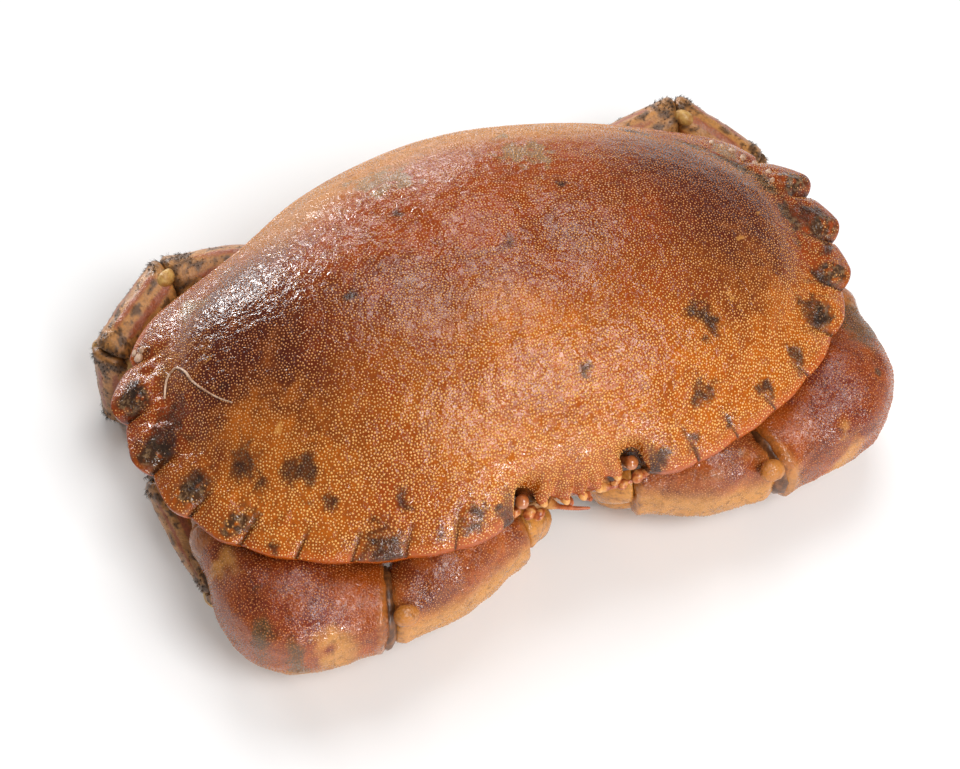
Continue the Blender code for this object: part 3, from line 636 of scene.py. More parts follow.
class Paint:
    """A material's node tree, with one method that adds any node."""

    def __init__(self, name):
        self.material = bpy.data.materials.new(name)
        self.material.use_nodes = True
        self.tree = self.material.node_tree
        self.shader = self.tree.nodes["Principled BSDF"]
        self.place = self.add("ShaderNodeTexCoord", out="Object")

    def add(self, kind, settings=None, values=(), out=0):
        """Adds a node: its settings first, then values or links for its inputs. Returns one output."""
        node = self.tree.nodes.new(kind)
        for key, setting in (settings or {}).items():
            setattr(node, key, setting)
        for key, value in values.items() if isinstance(values, dict) else enumerate(values):
            self.feed(node.inputs[key], value)
        return Value(self, node.outputs[out])

    def feed(self, socket, value):
        if isinstance(value, Value):
            self.tree.links.new(value.socket, socket)
        elif socket.type == "RGBA" and len(value) == 3:
            socket.default_value = (*value, 1.0)
        else:
            socket.default_value = value

    def mix(self, factor, first, second):
        """A colour between two, by a factor."""
        settings = {"data_type": "RGBA", "clamp_factor": True}
        return self.add("ShaderNodeMix", settings, {0: factor, 6: first, 7: second}, 2)

    def layers(self, colour, *rows):
        """Lays tones over a colour, each by its mask, where the mask starts and is full, and a strength."""
        for mask, start, full, strength, shade in rows:
            colour = self.mix(mask.over(start, full) * strength, colour, shade)
        return colour

    def attributes(self, *names):
        return [self.add("ShaderNodeAttribute", {"attribute_name": name}, out="Fac") for name in names]

    def cloud(self, width, detail=3.0, roughness=0.55, warp=0.0):
        """Noise with blotches about so many millimetres wide."""
        values = {"Vector": self.place, "Scale": 1 / (width * MM), "Detail": detail, "Roughness": roughness}
        return self.add("ShaderNodeTexNoise", {"noise_dimensions": "3D"}, {**values, "Distortion": warp})

    def clouds(self, *sizes):
        """Several noises, from the broadest to the finest."""
        return [self.cloud(*size) for size in sizes]

    def cells(self, width, randomness=1.0):
        """Distance from the middles of cells about so many millimetres wide."""
        values = {"Vector": self.place, "Scale": 1 / (width * MM), "Randomness": randomness}
        return self.add("ShaderNodeTexVoronoi", {"feature": "F1"}, values, "Distance")

    def bump(self, height, strength, depth, normal=None):
        """A normal raised by a height of 0 to 1, so many millimetres deep."""
        values = {"Height": height, "Strength": strength, "Distance": depth * MM}
        return self.add("ShaderNodeBump", {}, {**values, "Normal": normal} if normal else values)

    def finish(self, colour, roughness, normal=None, coat=None, coat_roughness=0.1, specular=0.5, sss=0.0):
        """Feeds the shader and returns the material."""
        given = {"Base Color": colour, "Roughness": roughness, "Normal": normal, "Coat Weight": coat}
        for name, value in given.items():
            if value is not None:
                self.feed(self.shader.inputs[name], value)
        constants = {
            "Coat Roughness": coat_roughness, "Specular IOR Level": specular, "Subsurface Weight": sss,
            "Subsurface Scale": 1.5 * MM, "Subsurface Radius": (1.0, 0.35, 0.15),
        }
        for name, value in constants.items():
            self.shader.inputs[name].default_value = value
        return self.material


def tone(red, green, blue):
    """A colour given as it looks, each of 0 to 255, as light."""
    parts = (red / 255, green / 255, blue / 255)
    return tuple(c / 12.92 if c < 0.0405 else ((c + 0.055) / 1.055) ** 2.4 for c in parts)


def shell_paint(colours):
    p = Paint("shell_skin")
    broad, patchy, blotch, fine = p.clouds((30, 3, 0.6, 0.5), (9, 4, 0.65, 0.3), (3.4, 4, 0.7), (1.0, 3))
    stain, ochre, fleck, dirt, orbit = p.attributes("stain", "ochre", "fleck", "dirt", "orbit")
    rim, grey, deep, under, pale = p.attributes("rim", "grey", "deep", "under", "pale")
    wander = (patchy - 0.5) * 1.5 + (blotch - 0.5) * 1.3
    drift = broad - 0.5
    soil = p.mix(fine.over(0.45, 0.65), tone(48, 34, 18), tone(122, 96, 66))
    # Painted shade of the eye sockets: a dark brown.
    socket = p.mix(blotch.over(0.4, 0.65), tone(34, 20, 10), tone(110, 56, 18))
    dark = (stain + wander * 0.4 + (fine - 0.5) * 0.4).over(0.05, 1.2)
    colour = p.layers(
        colours.shell,
        (deep + wander * 0.5 + drift * 1.1, 0.0, 0.9, 1.0, colours.deep),
        (ochre + wander * 0.9 + drift * 0.8, 0.0, 1.1, 0.85, colours.gold),
        (pale + wander * 0.35 + drift * 0.5, 0.1, 1.0, 0.8, tone(204, 132, 40)),
        (blotch + fine * 0.4 - 0.2, 0.42, 0.75, 0.45, tone(92, 34, 12)),
        (fleck + (fine - 0.5) * 0.8, 0.3, 0.8, 0.75, tone(196, 134, 62)),
        (rim + wander * 0.9, 0.2, 1.0, 0.7 - pale * 0.45, colours.rim),
        (grey + wander * 0.8, 0.2, 0.8, 0.7, tone(134, 112, 80)),
        (dirt + wander * 0.4, 0.1, 0.8, 0.9, soil),
    )
    colour = p.layers(
        p.mix(dark * 0.93, colour, colours.stain),
        (under, 0.2, 0.9, 1.0, tone(196, 146, 92)),
        (orbit, 0.1, 0.8, 1.0, socket),
    )
    normal = p.bump(p.cloud(1.8, 3, 0.6, 0.8), 1.0, 0.4, p.bump(p.cells(0.55), 0.5, 0.08))
    return p.finish(colour, (0.05 + blotch * 0.14 + dark * 0.1).held(), normal, specular=0.55, sss=0.02)


def grit_paint():
    p = Paint("grit")
    colour = p.mix(p.cloud(0.9, 3).over(0.35, 0.65), tone(150, 104, 70), tone(206, 174, 148))
    return p.finish(colour, 0.3, p.bump(p.cloud(0.5, 3), 0.6, 0.12), sss=0.05)


def granule_paint():
    p = Paint("granules")
    rim, stain, deep, ochre, dirt, foot = p.attributes("rim", "stain", "deep", "ochre", "dirt", "foot")
    patchy, each = p.clouds((7, 4, 0.6), (0.7, 2))
    colour = p.mix((patchy * 1.6 - 0.3).held(), tone(206, 128, 58), tone(246, 186, 108))
    colour = p.mix((deep + each + patchy - 1.0).held() * 0.75, colour, tone(156, 78, 38))
    colour = p.mix((ochre * 0.7).held(), colour, tone(246, 182, 96))
    colour = p.mix((rim * 0.9).held(), colour, tone(244, 182, 106))
    colour = p.layers(
        colour,
        (stain + dirt * 0.8 + (patchy - 0.5) * 1.2, 0.25, 1.0, 0.9, tone(66, 42, 22)),
        (foot, 0.1, 0.75, 0.85, tone(104, 44, 12)),
    )
    return p.finish(colour, 0.2, sss=0.05)


def claw_granule_paint():
    p = Paint("claw_granules")
    low, dirt, olive, foot = p.attributes("low", "dirt", "olive", "foot")
    patchy = p.cloud(5, 4, 0.6)
    colour = p.mix((patchy * 1.8 - 0.4).held(), tone(176, 84, 34), tone(224, 142, 76))
    colour = p.mix((low + (patchy - 0.5)).held() * 0.7, colour, tone(226, 178, 112))
    colour = p.layers(
        colour,
        (dirt + olive * 0.7 + (patchy - 0.5) * 1.2, 0.2, 0.9, 0.8, tone(122, 96, 62)),
        (foot, 0.1, 0.75, 0.8, tone(106, 46, 18)),
    )
    return p.finish(colour, 0.22, sss=0.05)


def claw_paint(colours):
    p = Paint("claw_skin")
    broad, patchy, blotch, fine = p.clouds((18, 3, 0.6, 0.5), (6, 4, 0.65, 0.3), (2.2, 4, 0.7), (0.8, 3))
    low, edge, olive, tip, blush, dirt = p.attributes("low", "edge", "olive", "tip", "blush", "dirt")
    wander = (patchy - 0.5) * 1.4 + (blotch - 0.5) * 1.2
    colour = p.mix((0.5 + wander * 0.9 + (broad - 0.5) * 2.2).held(), colours.claw, tone(190, 88, 19))
    colour = p.layers(
        colour,
        # Purple-brown over the blush marks and over the band of painted sheen on each segment's upper side.
        (blush + wander * 0.5, 0.2, 1.0, 0.85, tone(104, 33, 28)),
        (olive + wander * 0.7, 0.15, 0.8, 0.85, tone(88, 70, 38)),
        (low + wander * 0.5, 0.15, 0.95, 0.9, tone(208, 142, 62)),
        (edge + wander * 0.5, 0.1, 0.75, 0.8, tone(196, 128, 56)),
    )
    dots = 1 - p.cells(0.4, randomness=0.8).over(0.12, 0.42)
    colour = p.layers(
        p.mix(dots * 0.55 * (1 - tip), colour, tone(208, 130, 66)),
        (blotch + fine * 0.5 - 0.3, 0.38, 0.72, 0.6, tone(66, 22, 6)),
        (patchy * 1.2 + broad * 0.6 - 0.5 - low, 0.35, 0.7, 0.5, tone(76, 24, 6)),
        (dirt + wander * 0.7, 0.25, 0.85, 0.75, tone(62, 50, 36)),
        (tip + wander * 0.4, 0.4, 0.65, 1.0, tone(22, 17, 15)),
    )
    normal = p.bump(p.cloud(1.2, 3, 0.65, 1.0), 1.0, 0.26, p.bump(p.cells(0.4), 0.5, 0.08))
    return p.finish(colour, (0.06 + blotch * 0.13).held(), normal, specular=0.56, sss=0.02)


def joint_paint():
    p = Paint("joint_skin")
    colour = p.mix(p.cloud(2.0, 3).over(0.4, 0.7), tone(84, 50, 26), tone(140, 88, 46))
    return p.finish(colour, 0.35, p.bump(p.cloud(1.0, 3), 0.8, 0.3))


def leg_paint(colours):
    p = Paint("leg_skin")
    broad, patchy, blotch, fine = p.clouds((10, 3, 0.6, 0.5), (3.4, 4, 0.65), (1.4, 4, 0.7), (0.6, 3))
    hair, knob, tip, band = p.attributes("hair", "knob", "tip", "band")
    wander = (patchy - 0.5) * 1.3 + (blotch - 0.5) * 1.1
    yellow = p.mix(blotch.over(0.3, 0.7), tone(208, 168, 96), tone(168, 112, 50))
    colour = p.mix((0.5 + wander + (broad - 0.5) * 1.2).held(), colours.leg, tone(200, 140, 74))
    colour = p.layers(
        colour,
        (band + wander * 0.7, 0.25, 0.8, 0.8, tone(152, 66, 40)),
        (hair + wander * 0.5, 0.2, 0.9, 0.8, tone(58, 36, 20)),
        (fine * 1.2 - 0.1, 0.4, 0.75, 0.4, tone(78, 48, 26)),
        (knob + (fine - 0.5) * 0.5, 0.3, 0.7, 1.0, yellow),
        (tip + wander * 0.4, 0.4, 0.7, 1.0, tone(36, 26, 20)),
    )
    normal = p.bump(blotch, 0.7, 0.35, p.bump(p.cells(0.5), 0.4, 0.1))
    return p.finish(colour, (0.22 + blotch * 0.26).held(), normal, specular=0.45, sss=0.03)


def belly_paint(colours):
    p = Paint("belly_skin")
    broad, patchy, blotch, fine = p.clouds((16, 4, 0.6, 0.4), (4, 4, 0.65), (1.5, 4, 0.7), (0.6, 3))
    groove, front = p.attributes("groove", "front")
    wander = (patchy - 0.5) * 1.4 + (blotch - 0.5)
    colour = p.mix((0.5 + wander + (broad - 0.5) * 1.3).held(), colours.belly, tone(196, 146, 88))
    colour = p.layers(
        colour,
        (blotch + fine * 0.5 - 0.3, 0.42, 0.75, 0.5, tone(158, 96, 52)),
        (groove + wander * 0.4, 0.15, 0.9, 0.8, tone(96, 60, 36)),
        # Painted shade: the front of the chest and the mouth flaps, under the shell's front edge, turn
        # darker brown with dark patches.
        (front + wander * 0.7, 0.2, 0.9, 0.8, tone(138, 72, 22)),
        (front + patchy - 0.6, 0.55, 0.75, 0.7, tone(62, 38, 18)),
    )
    normal = p.bump(blotch, 0.6, 0.35, p.bump(p.cells(0.6), 0.4, 0.08))
    return p.finish(colour, (0.4 + blotch * 0.2).held(), normal, (patchy * 0.8 - 0.1).held(), 0.2, 0.4, 0.06)


def bristle_paint():
    p = Paint("bristle")
    patchy, (rise,) = p.cloud(3.0, 3), p.attributes("rise")
    colour = p.mix((patchy * 1.8 - 0.45).held(), tone(26, 18, 12), tone(78, 54, 32))
    colour = p.layers(colour, (rise, 0.3, 1.0, 0.4, tone(112, 84, 54)))
    return p.finish(colour, 0.5, None, 0.2, 0.3, 0.4)


def feeler_paint():
    p = Paint("feeler")
    patchy, (pale,) = p.cloud(1.5, 3), p.attributes("pale")
    colour = p.mix(patchy.over(0.35, 0.65), tone(150, 66, 26), tone(196, 108, 56))
    colour = p.layers(colour, (pale + patchy - 0.5, 0.2, 0.8, 1.0, tone(222, 158, 88)))
    return p.finish(colour, 0.25, p.bump(patchy, 0.5, 0.1), sss=0.05)


def eye_paint():
    p = Paint("eye_ball")
    patchy, (flesh,) = p.cloud(1.2, 3), p.attributes("flesh")
    colour = p.mix((patchy * 1.5 - 0.3).held(), tone(160, 84, 36), tone(208, 132, 76))
    colour = p.layers(colour, (flesh, 0.2, 0.8, 1.0, tone(150, 76, 36)))
    return p.finish(colour, 0.12, p.bump(patchy, 0.25, 0.1), 1.0, 0.03, 0.6, 0.1)


def limb_points(path, sizes, up=(0, 0, 1), sides=40, count=44, fullness=2.2):
    """Rings of a limb, square to its path and closed by rounded ends, then its middle line."""
    share = np.linspace(0, 1, count)
    line = spline(path, share)
    along = np.gradient(line, axis=0)
    along /= np.linalg.norm(along, axis=1)[:, None]
    width, height = reading(sizes[0], share), reading(sizes[1], share)
    rows = [(line[i], along[i], width[i], height[i]) for i in range(count)]
    for end in (0, -1):
        place, ahead, w, h = rows[end]
        out = (-ahead if end == 0 else ahead) * 0.9 * min(w, h)
        cap = [(place + out * math.sin(a), ahead, w * math.cos(a), h * math.cos(a)) for a in CAP_ANGLES]
        rows = cap[::-1] + rows if end == 0 else rows + cap
    turn = 2 * math.pi * (np.arange(sides) + 0.5) / sides
    c, s = np.cos(turn), np.sin(turn)
    flat_c = np.abs(c) ** (2 / fullness) * np.sign(c)
    flat_s = np.abs(s) ** (2 / fullness) * np.sign(s)
    rings = []
    for place, ahead, w, h in rows:
        side = unit(np.cross(ahead, up))
        over = np.cross(side, ahead)
        rings.append(place + np.outer(flat_c * w, side) + np.outer(flat_s * h, over))
    first, last = rows[0], rows[-1]
    poles = (first[0] - first[1] * 0.25 * min(first[2:]), last[0] + last[1] * 0.25 * min(last[2:]))
    return rings, poles, line


def limb_object(name, path, sizes, **options):
    """A limb's mesh object and its middle line."""
    rings, poles, line = limb_points(path, sizes, **options)
    points, faces = closed_skin(rings, *poles)
    return mesh_object(name, points, faces), line


def cut_away(obj, place, outward, soften=0.9):
    """Cuts off what lies beyond a plane, closes the cut and rounds its rim."""
    normal = unit(np.array(outward, float))
    where = np.array(place, float) - normal * JOINT_GAP
    mesh = obj.data
    bm = bmesh.new()
    bm.from_mesh(mesh)
    plane = {"plane_co": Vector((where + SHIFT) * MM), "plane_no": Vector(normal)}
    whole = bm.verts[:] + bm.edges[:] + bm.faces[:]
    bmesh.ops.bisect_plane(bm, geom=whole, dist=1e-7, clear_outer=True, **plane)
    rim = [e for e in bm.edges if e.is_boundary]
    if rim:
        made = bmesh.ops.edgeloop_fill(bm, edges=rim)["faces"]
        bmesh.ops.triangulate(bm, faces=made)
    bmesh.ops.recalc_face_normals(bm, faces=bm.faces)
    bm.to_mesh(mesh)
    bm.free()
    points = plan_points(mesh)
    depth = (where - points) @ normal
    rim_points = points[depth < 0.05]
    if len(rim_points):
        outwards = points - rim_points.mean(0)
        outwards -= np.outer(outwards @ normal, normal)
        size = np.linalg.norm(outwards, axis=1)[:, None] + 1e-9
        pull = soften - np.sqrt(np.maximum(0, soften**2 - (soften - np.clip(depth, 0, soften)) ** 2))
        pull = np.where(depth < soften, pull, 0)[:, None]
        set_points(mesh, points - pull * outwards / size * np.minimum(1, size / soften))
    mesh.shade_smooth()


def along_limb(points, line, up=(0, 0, 1)):
    """For each point its share of the way along a line, its angle round it and the line's direction."""
    ahead = np.gradient(line, axis=0)
    ahead /= np.linalg.norm(ahead, axis=1)[:, None]
    nearest = ((points[:, None, :] - line[None, :, :]) ** 2).sum(2).argmin(1)
    ahead = ahead[nearest]
    off = points - line[nearest]
    length = np.linalg.norm(np.diff(line, axis=0), axis=1).mean() * (len(line) - 1)
    share = np.clip(nearest / (len(line) - 1) + (off * ahead).sum(1) / length, 0, 1)
    side = np.cross(ahead, np.array(up, float))
    side /= np.linalg.norm(side, axis=1)[:, None]
    over = np.cross(side, ahead)
    turn = np.arctan2((off * over).sum(1), (off * side).sum(1))
    return share, turn, ahead


def layout(share, turn, lie):
    """What a scatter reads of a limb's own layout: the way along it, round it, and how tufts lie."""
    return {"across": share, "round": turn / (2 * math.pi) + 0.5, "lie": lie}


def joint_normal(joints, i):
    """Direction of the plane that halves the bend at a joint."""
    return unit(unit(joints[i] - joints[i - 1]) + unit(joints[i + 1] - joints[i]))


def blob(place, sizes, axis, sides=14, rings=9):
    """Points and faces of a smooth knob with its long side along an axis."""
    place, axis = np.array(place), unit(np.array(axis, float))
    side = unit(np.cross(axis, (0.3, 0.2, 0.93)))
    over = np.cross(axis, side)
    turn = 2 * math.pi * np.arange(sides) / sides
    out = []
    for k in range(1, rings + 1):
        a = math.pi * k / (rings + 1)
        ring = np.outer(np.cos(turn), side) * sizes[1] + np.outer(np.sin(turn), over) * sizes[2]
        out.append(place - axis * sizes[0] * math.cos(a) + ring * math.sin(a))
    return closed_skin(out, place - axis * sizes[0], place + axis * sizes[0])


def blobs_object(name, blobs):
    """One object of several knobs."""
    base = np.cumsum([0] + [len(points) for points, _ in blobs[:-1]])
    faces = [tuple(v + b for v in f) for (_, made), b in zip(blobs, base) for f in made]
    points = np.vstack([points for points, _ in blobs])
    return mesh_object(name, points, faces)


def with_blobs(obj, blobs):
    """Adds knobs to a piece's mesh and marks them in its knob attribute."""
    mesh = obj.data
    old = len(mesh.vertices)
    if blobs:
        bm = bmesh.new()
        bm.from_mesh(mesh)
        for points, faces in blobs:
            verts = [bm.verts.new(Vector(p)) for p in (points + SHIFT) * MM]
            made = [bm.faces.new([verts[i] for i in f]) for f in faces]
            bmesh.ops.recalc_face_normals(bm, faces=made)
        bm.to_mesh(mesh)
        bm.free()
        mesh.shade_smooth()
    store(mesh, knob=np.arange(len(mesh.vertices)) >= old)


def mirrored(points, side):
    """A left-side path turned to a side, and moved to where the head sits."""
    return [np.array((side * x + HEAD_SHIFT, y, z), float) for x, y, z in points]


def scatter_tree(name, lean):
    """Sets a small shape over a surface, thinned by its hair attribute and leaned along its lie."""
    tree = bpy.data.node_groups.new(name, "GeometryNodeTree")
    kinds = {"Geometry": "Geometry", "Shape": "Object", "Spacing": "Float", "Size": "Float",
             "Packing": "Float", "Unevenness": "Float", "Finish": "Material"}
    for label, kind in kinds.items():
        tree.interface.new_socket(label, in_out="INPUT", socket_type=f"NodeSocket{kind}")
    tree.interface.new_socket("Geometry", in_out="OUTPUT", socket_type="NodeSocketGeometry")

    def add(kind, settings, inputs, out=0):
        """Adds a node: its settings first, then values or links for its inputs. Returns one output."""
        node = tree.nodes.new(kind)
        for key, setting in settings.items():
            setattr(node, key, setting)
        for key, value in inputs.items():
            if isinstance(value, bpy.types.NodeSocket):
                tree.links.new(value, node.inputs[key])
            else:
                node.inputs[key].default_value = value
        return node.outputs[out]

    def maths(operation, first, second):
        return add("ShaderNodeMath", {"operation": operation}, {0: first, 1: second})

    def plus(first, second):
        return add("ShaderNodeVectorMath", {"operation": "ADD"}, {0: first, 1: second})

    def attribute(kind, label):
        return add("GeometryNodeInputNamedAttribute", {"data_type": kind}, {"Name": label})

    def chance(least, most, seed):
        return add("FunctionNodeRandomValue", {"data_type": "FLOAT"}, {2: least, 3: most, "Seed": seed}, 1)

    start, end = tree.nodes.new("NodeGroupInput"), tree.nodes.new("NodeGroupOutput")
    given = {socket.name: socket for socket in start.outputs}
    most = maths("DIVIDE", maths("DIVIDE", given["Packing"], given["Spacing"]), given["Spacing"])
    spread = add("GeometryNodeDistributePointsOnFaces", {"distribute_method": "POISSON"}, {
        "Mesh": given["Geometry"], "Distance Min": given["Spacing"], "Density Max": most,
        "Density Factor": attribute("FLOAT", "hair"), "Seed": 7})
    direction = spread.node.outputs["Normal"]
    if lean:
        ends = {0: (-1, -1, -1), 1: (1, 1, 1), "Seed": 3}
        stray = add("FunctionNodeRandomValue", {"data_type": "FLOAT_VECTOR"}, ends)
        sway = add("ShaderNodeVectorMath", {"operation": "SCALE"}, {0: stray, "Scale": given["Unevenness"]})
        direction = plus(plus(direction, attribute("FLOAT_VECTOR", "lie")), sway)
    angles = add("ShaderNodeCombineXYZ", {}, {2: chance(0.0, 6.283, 5)})
    turned = add("FunctionNodeAlignRotationToVector", {"axis": "Z"}, {"Vector": direction})
    spin = add("FunctionNodeEulerToRotation", {}, {0: angles})
    turned = add("FunctionNodeRotateRotation", {"rotation_space": "LOCAL"}, {0: turned, 1: spin})
    longer = maths("MULTIPLY", attribute("FLOAT", "length"), chance(0.7, 1.25, 11))
    source = {"Object": given["Shape"]}
    shape = add("GeometryNodeObjectInfo", {"transform_space": "ORIGINAL"}, source, "Geometry")
    size = maths("MULTIPLY", longer, given["Size"])
    places = {"Points": spread, "Instance": shape, "Rotation": turned, "Scale": size}
    placed = add("GeometryNodeInstanceOnPoints", {}, places)
    real = add("GeometryNodeRealizeInstances", {}, {"Geometry": placed})
    done = add("GeometryNodeSetMaterial", {}, {"Geometry": real, "Material": given["Finish"]})
    tree.links.new(done, end.inputs[0])
    return tree


def scattered(name, skin, tree, **inputs):
    """The result of a scatter over a skin, as a plain mesh object."""
    step = skin.modifiers.new("scatter", "NODES")
    step.node_group = tree
    for item in tree.interface.items_tree:
        if item.in_out == "INPUT" and item.name in inputs:
            step[item.identifier] = inputs[item.name]
    graph = bpy.context.evaluated_depsgraph_get()
    mesh = bpy.data.meshes.new_from_object(skin.evaluated_get(graph))
    skin.modifiers.remove(step)
    mesh.name = name
    mesh.shade_smooth()
    return linked(name, mesh)


def skin_places(obj, each):
    """Where each shape's root lies on its skin's own layout: along the limb and round it."""
    across, turned = (stored(obj.data, key)[::each] for key in ("across", "round"))
    return np.clip(np.column_stack([across, turned]), 0.002, 0.998)


def lay_out_bake(obj, each, local, places):
    """Gives a scatter its bake map: a small patch for each shape, at its root's place on the skin."""
    mesh = obj.data
    layer = mesh.uv_layers.new(name="OFBake", do_init=False)
    corner = np.empty(len(mesh.loops), np.int32)
    mesh.loops.foreach_get("vertex_index", corner)
    spot = places[corner // each] + BAKE_PATCH * local[corner % each]
    layer.data.foreach_set("uv", spot.astype(np.float32).ravel())


def small_shape(name, points, faces):
    mesh = bpy.data.meshes.new(name)
    mesh.from_pydata(points, [], faces)
    face_out(mesh)
    return linked(name, mesh)


def granule_shape():
    """A low round grain, one unit across, sunk a little into the skin."""
    sides = 5
    turn = 2 * math.pi * np.arange(sides) / sides
    points, local = [(0, 0, -0.25)], [(0, 0)]
    for radius, height, reach in ((0.64, -0.1, 1.0), (0.4, 0.2, 0.55)):
        points += [(radius * math.cos(a), radius * math.sin(a), height) for a in turn]
        local += [(reach * math.cos(a), reach * math.sin(a)) for a in turn]
    points.append((0, 0, 0.32))
    local.append((0.05, 0))
    faces = []
    for k in range(sides):
        low, low_next, top, top_next = 1 + k, 1 + (k + 1) % sides, 1 + sides + k, 1 + sides + (k + 1) % sides
        faces += [(0, low_next, low), (low, low_next, top_next, top), (2 * sides + 1, top, top_next)]
    obj = small_shape("grain", points, faces)
    store(obj.data, foot=np.arange(len(points)) <= sides)
    return obj, np.array(local)


def tuft_shape(seed, bristles=5, spread=0.3, bend=0.3):
    """A tuft of stiff bristles, one unit long, with their roots sunk into the skin."""
    rng = np.random.default_rng(seed)
    points, faces, local, rise = [], [], [], []
    for b in range(bristles):
        a = 2 * math.pi * (b + rng.uniform(-0.2, 0.2)) / bristles
        foot = np.array([0.1 * math.cos(a), 0.1 * math.sin(a), -0.12])
        lean = np.array([math.cos(a), math.sin(a), 0]) * spread * rng.uniform(0.5, 1.4)
        long = rng.uniform(0.7, 1.0)
        middle = foot + lean * 0.4 + np.array([0, 0, 0.55 * long])
        top = foot + lean + np.array([bend * rng.uniform(0.4, 1.2), 0, long])
        start = len(points)
        corner = np.array([0.45 * math.cos(a), 0.45 * math.sin(a)])
        for centre, radius, reach, high in ((foot, 0.05, 0.5, 0.0), (middle, 0.035, 0.25, 0.5)):
            for k in range(3):
                t = a + 2 * math.pi * k / 3
                points.append(tuple(centre + radius * np.array([math.cos(t), math.sin(t), 0])))
                local.append(corner + reach * np.array([math.cos(t), math.sin(t)]))
                rise.append(high)
        points.append(tuple(top))
        local.append(corner)
        rise.append(1.0)
        for k in range(3):
            n = (k + 1) % 3
            faces.append((start + k, start + n, start + 3 + n, start + 3 + k))
            faces.append((start + 3 + k, start + 3 + n, start + 6))
        faces.append((start + 2, start + 1, start))
    obj = small_shape(f"tuft_{seed}", points, faces)
    store(obj.data, rise=rise)
    return obj, np.array(local)


def joined_skin(name, skins):
    """One copy of several skins, with the attributes that a scatter reads."""
    points, faces, base = [], [], 0
    values = {"hair": [], "length": [], "lie": [], "across": [], "round": []}
    for number, skin in enumerate(skins):
        mesh = skin.data
        points.append(plan_points(mesh))
        faces += [tuple(base + v for v in f.vertices) for f in mesh.polygons]
        base += len(mesh.vertices)
        for key in values:
            values[key].append(stored(mesh, key, 3 if key == "lie" else 1))
        values["across"][-1] = (values["across"][-1] + number) / len(skins)
    obj = mesh_object(name, np.vstack(points), faces)
    store(obj.data, **{key: np.concatenate(lists) for key, lists in values.items()})
    return obj


def discard(*objs):
    for obj in objs:
        bpy.data.objects.remove(obj)


class CrabSizes(bpy.types.PropertyGroup):
    """Sizes that a user may change."""

    granule_spacing: bpy.props.FloatProperty(
        name="Granule spacing", description="Least distance between the shell's granules",
        default=0.55 * MM, min=0.4 * MM, max=3 * MM, unit="LENGTH")
    granule_width: bpy.props.FloatProperty(
        name="Granule width", description="Width of one granule",
        default=0.38 * MM, min=0.2 * MM, max=1.5 * MM, unit="LENGTH")
    claw_granule_spacing: bpy.props.FloatProperty(
        name="Claw granule spacing", description="Least distance between the claws' granules",
        default=0.56 * MM, min=0.3 * MM, max=3 * MM, unit="LENGTH")
    claw_granule_width: bpy.props.FloatProperty(
        name="Claw granule width", description="Width of one granule on a claw",
        default=0.27 * MM, min=0.1 * MM, max=1.5 * MM, unit="LENGTH")
    tuft_spacing: bpy.props.FloatProperty(
        name="Tuft spacing", description="Least distance between bristle tufts",
        default=0.78 * MM, min=0.4 * MM, max=4 * MM, unit="LENGTH")
    tuft_length: bpy.props.FloatProperty(
        name="Tuft length", description="Length of the bristles at a joint",
        default=1.15 * MM, min=0.3 * MM, max=5 * MM, unit="LENGTH")
    tuft_lean: bpy.props.FloatProperty(
        name="Tuft unevenness", description="How far tufts stray from their lie",
        default=0.35, min=0.0, max=1.5, subtype="FACTOR")


class CrabColours(bpy.types.PropertyGroup):
    """Colours that a user may change."""

    shell: bpy.props.FloatVectorProperty(
        name="Shell", description="Main colour of the shell",
        default=tone(150, 60, 3), subtype="COLOR", min=0, max=1)
    deep: bpy.props.FloatVectorProperty(
        name="Shell, deep", description="Dark red brown of the shell",
        default=tone(74, 21, 1), subtype="COLOR", min=0, max=1)
    gold: bpy.props.FloatVectorProperty(
        name="Shell, golden", description="Golden orange towards the front",
        default=tone(190, 98, 8), subtype="COLOR", min=0, max=1)
    rim: bpy.props.FloatVectorProperty(
        name="Rim", description="Bright edge of the lobes",
        default=tone(182, 82, 14), subtype="COLOR", min=0, max=1)
    stain: bpy.props.FloatVectorProperty(
        name="Stain", description="Dark marks at the fissures",
        default=tone(32, 17, 8), subtype="COLOR", min=0, max=1)
    claw: bpy.props.FloatVectorProperty(
        name="Claw", description="Red brown of the claws",
        default=tone(92, 30, 3), subtype="COLOR", min=0, max=1)
    leg: bpy.props.FloatVectorProperty(
        name="Leg", description="Tan of the legs",
        default=tone(168, 112, 58), subtype="COLOR", min=0, max=1)
    belly: bpy.props.FloatVectorProperty(
        name="Belly", description="Pale underside",
        default=tone(218, 180, 126), subtype="COLOR", min=0, max=1)


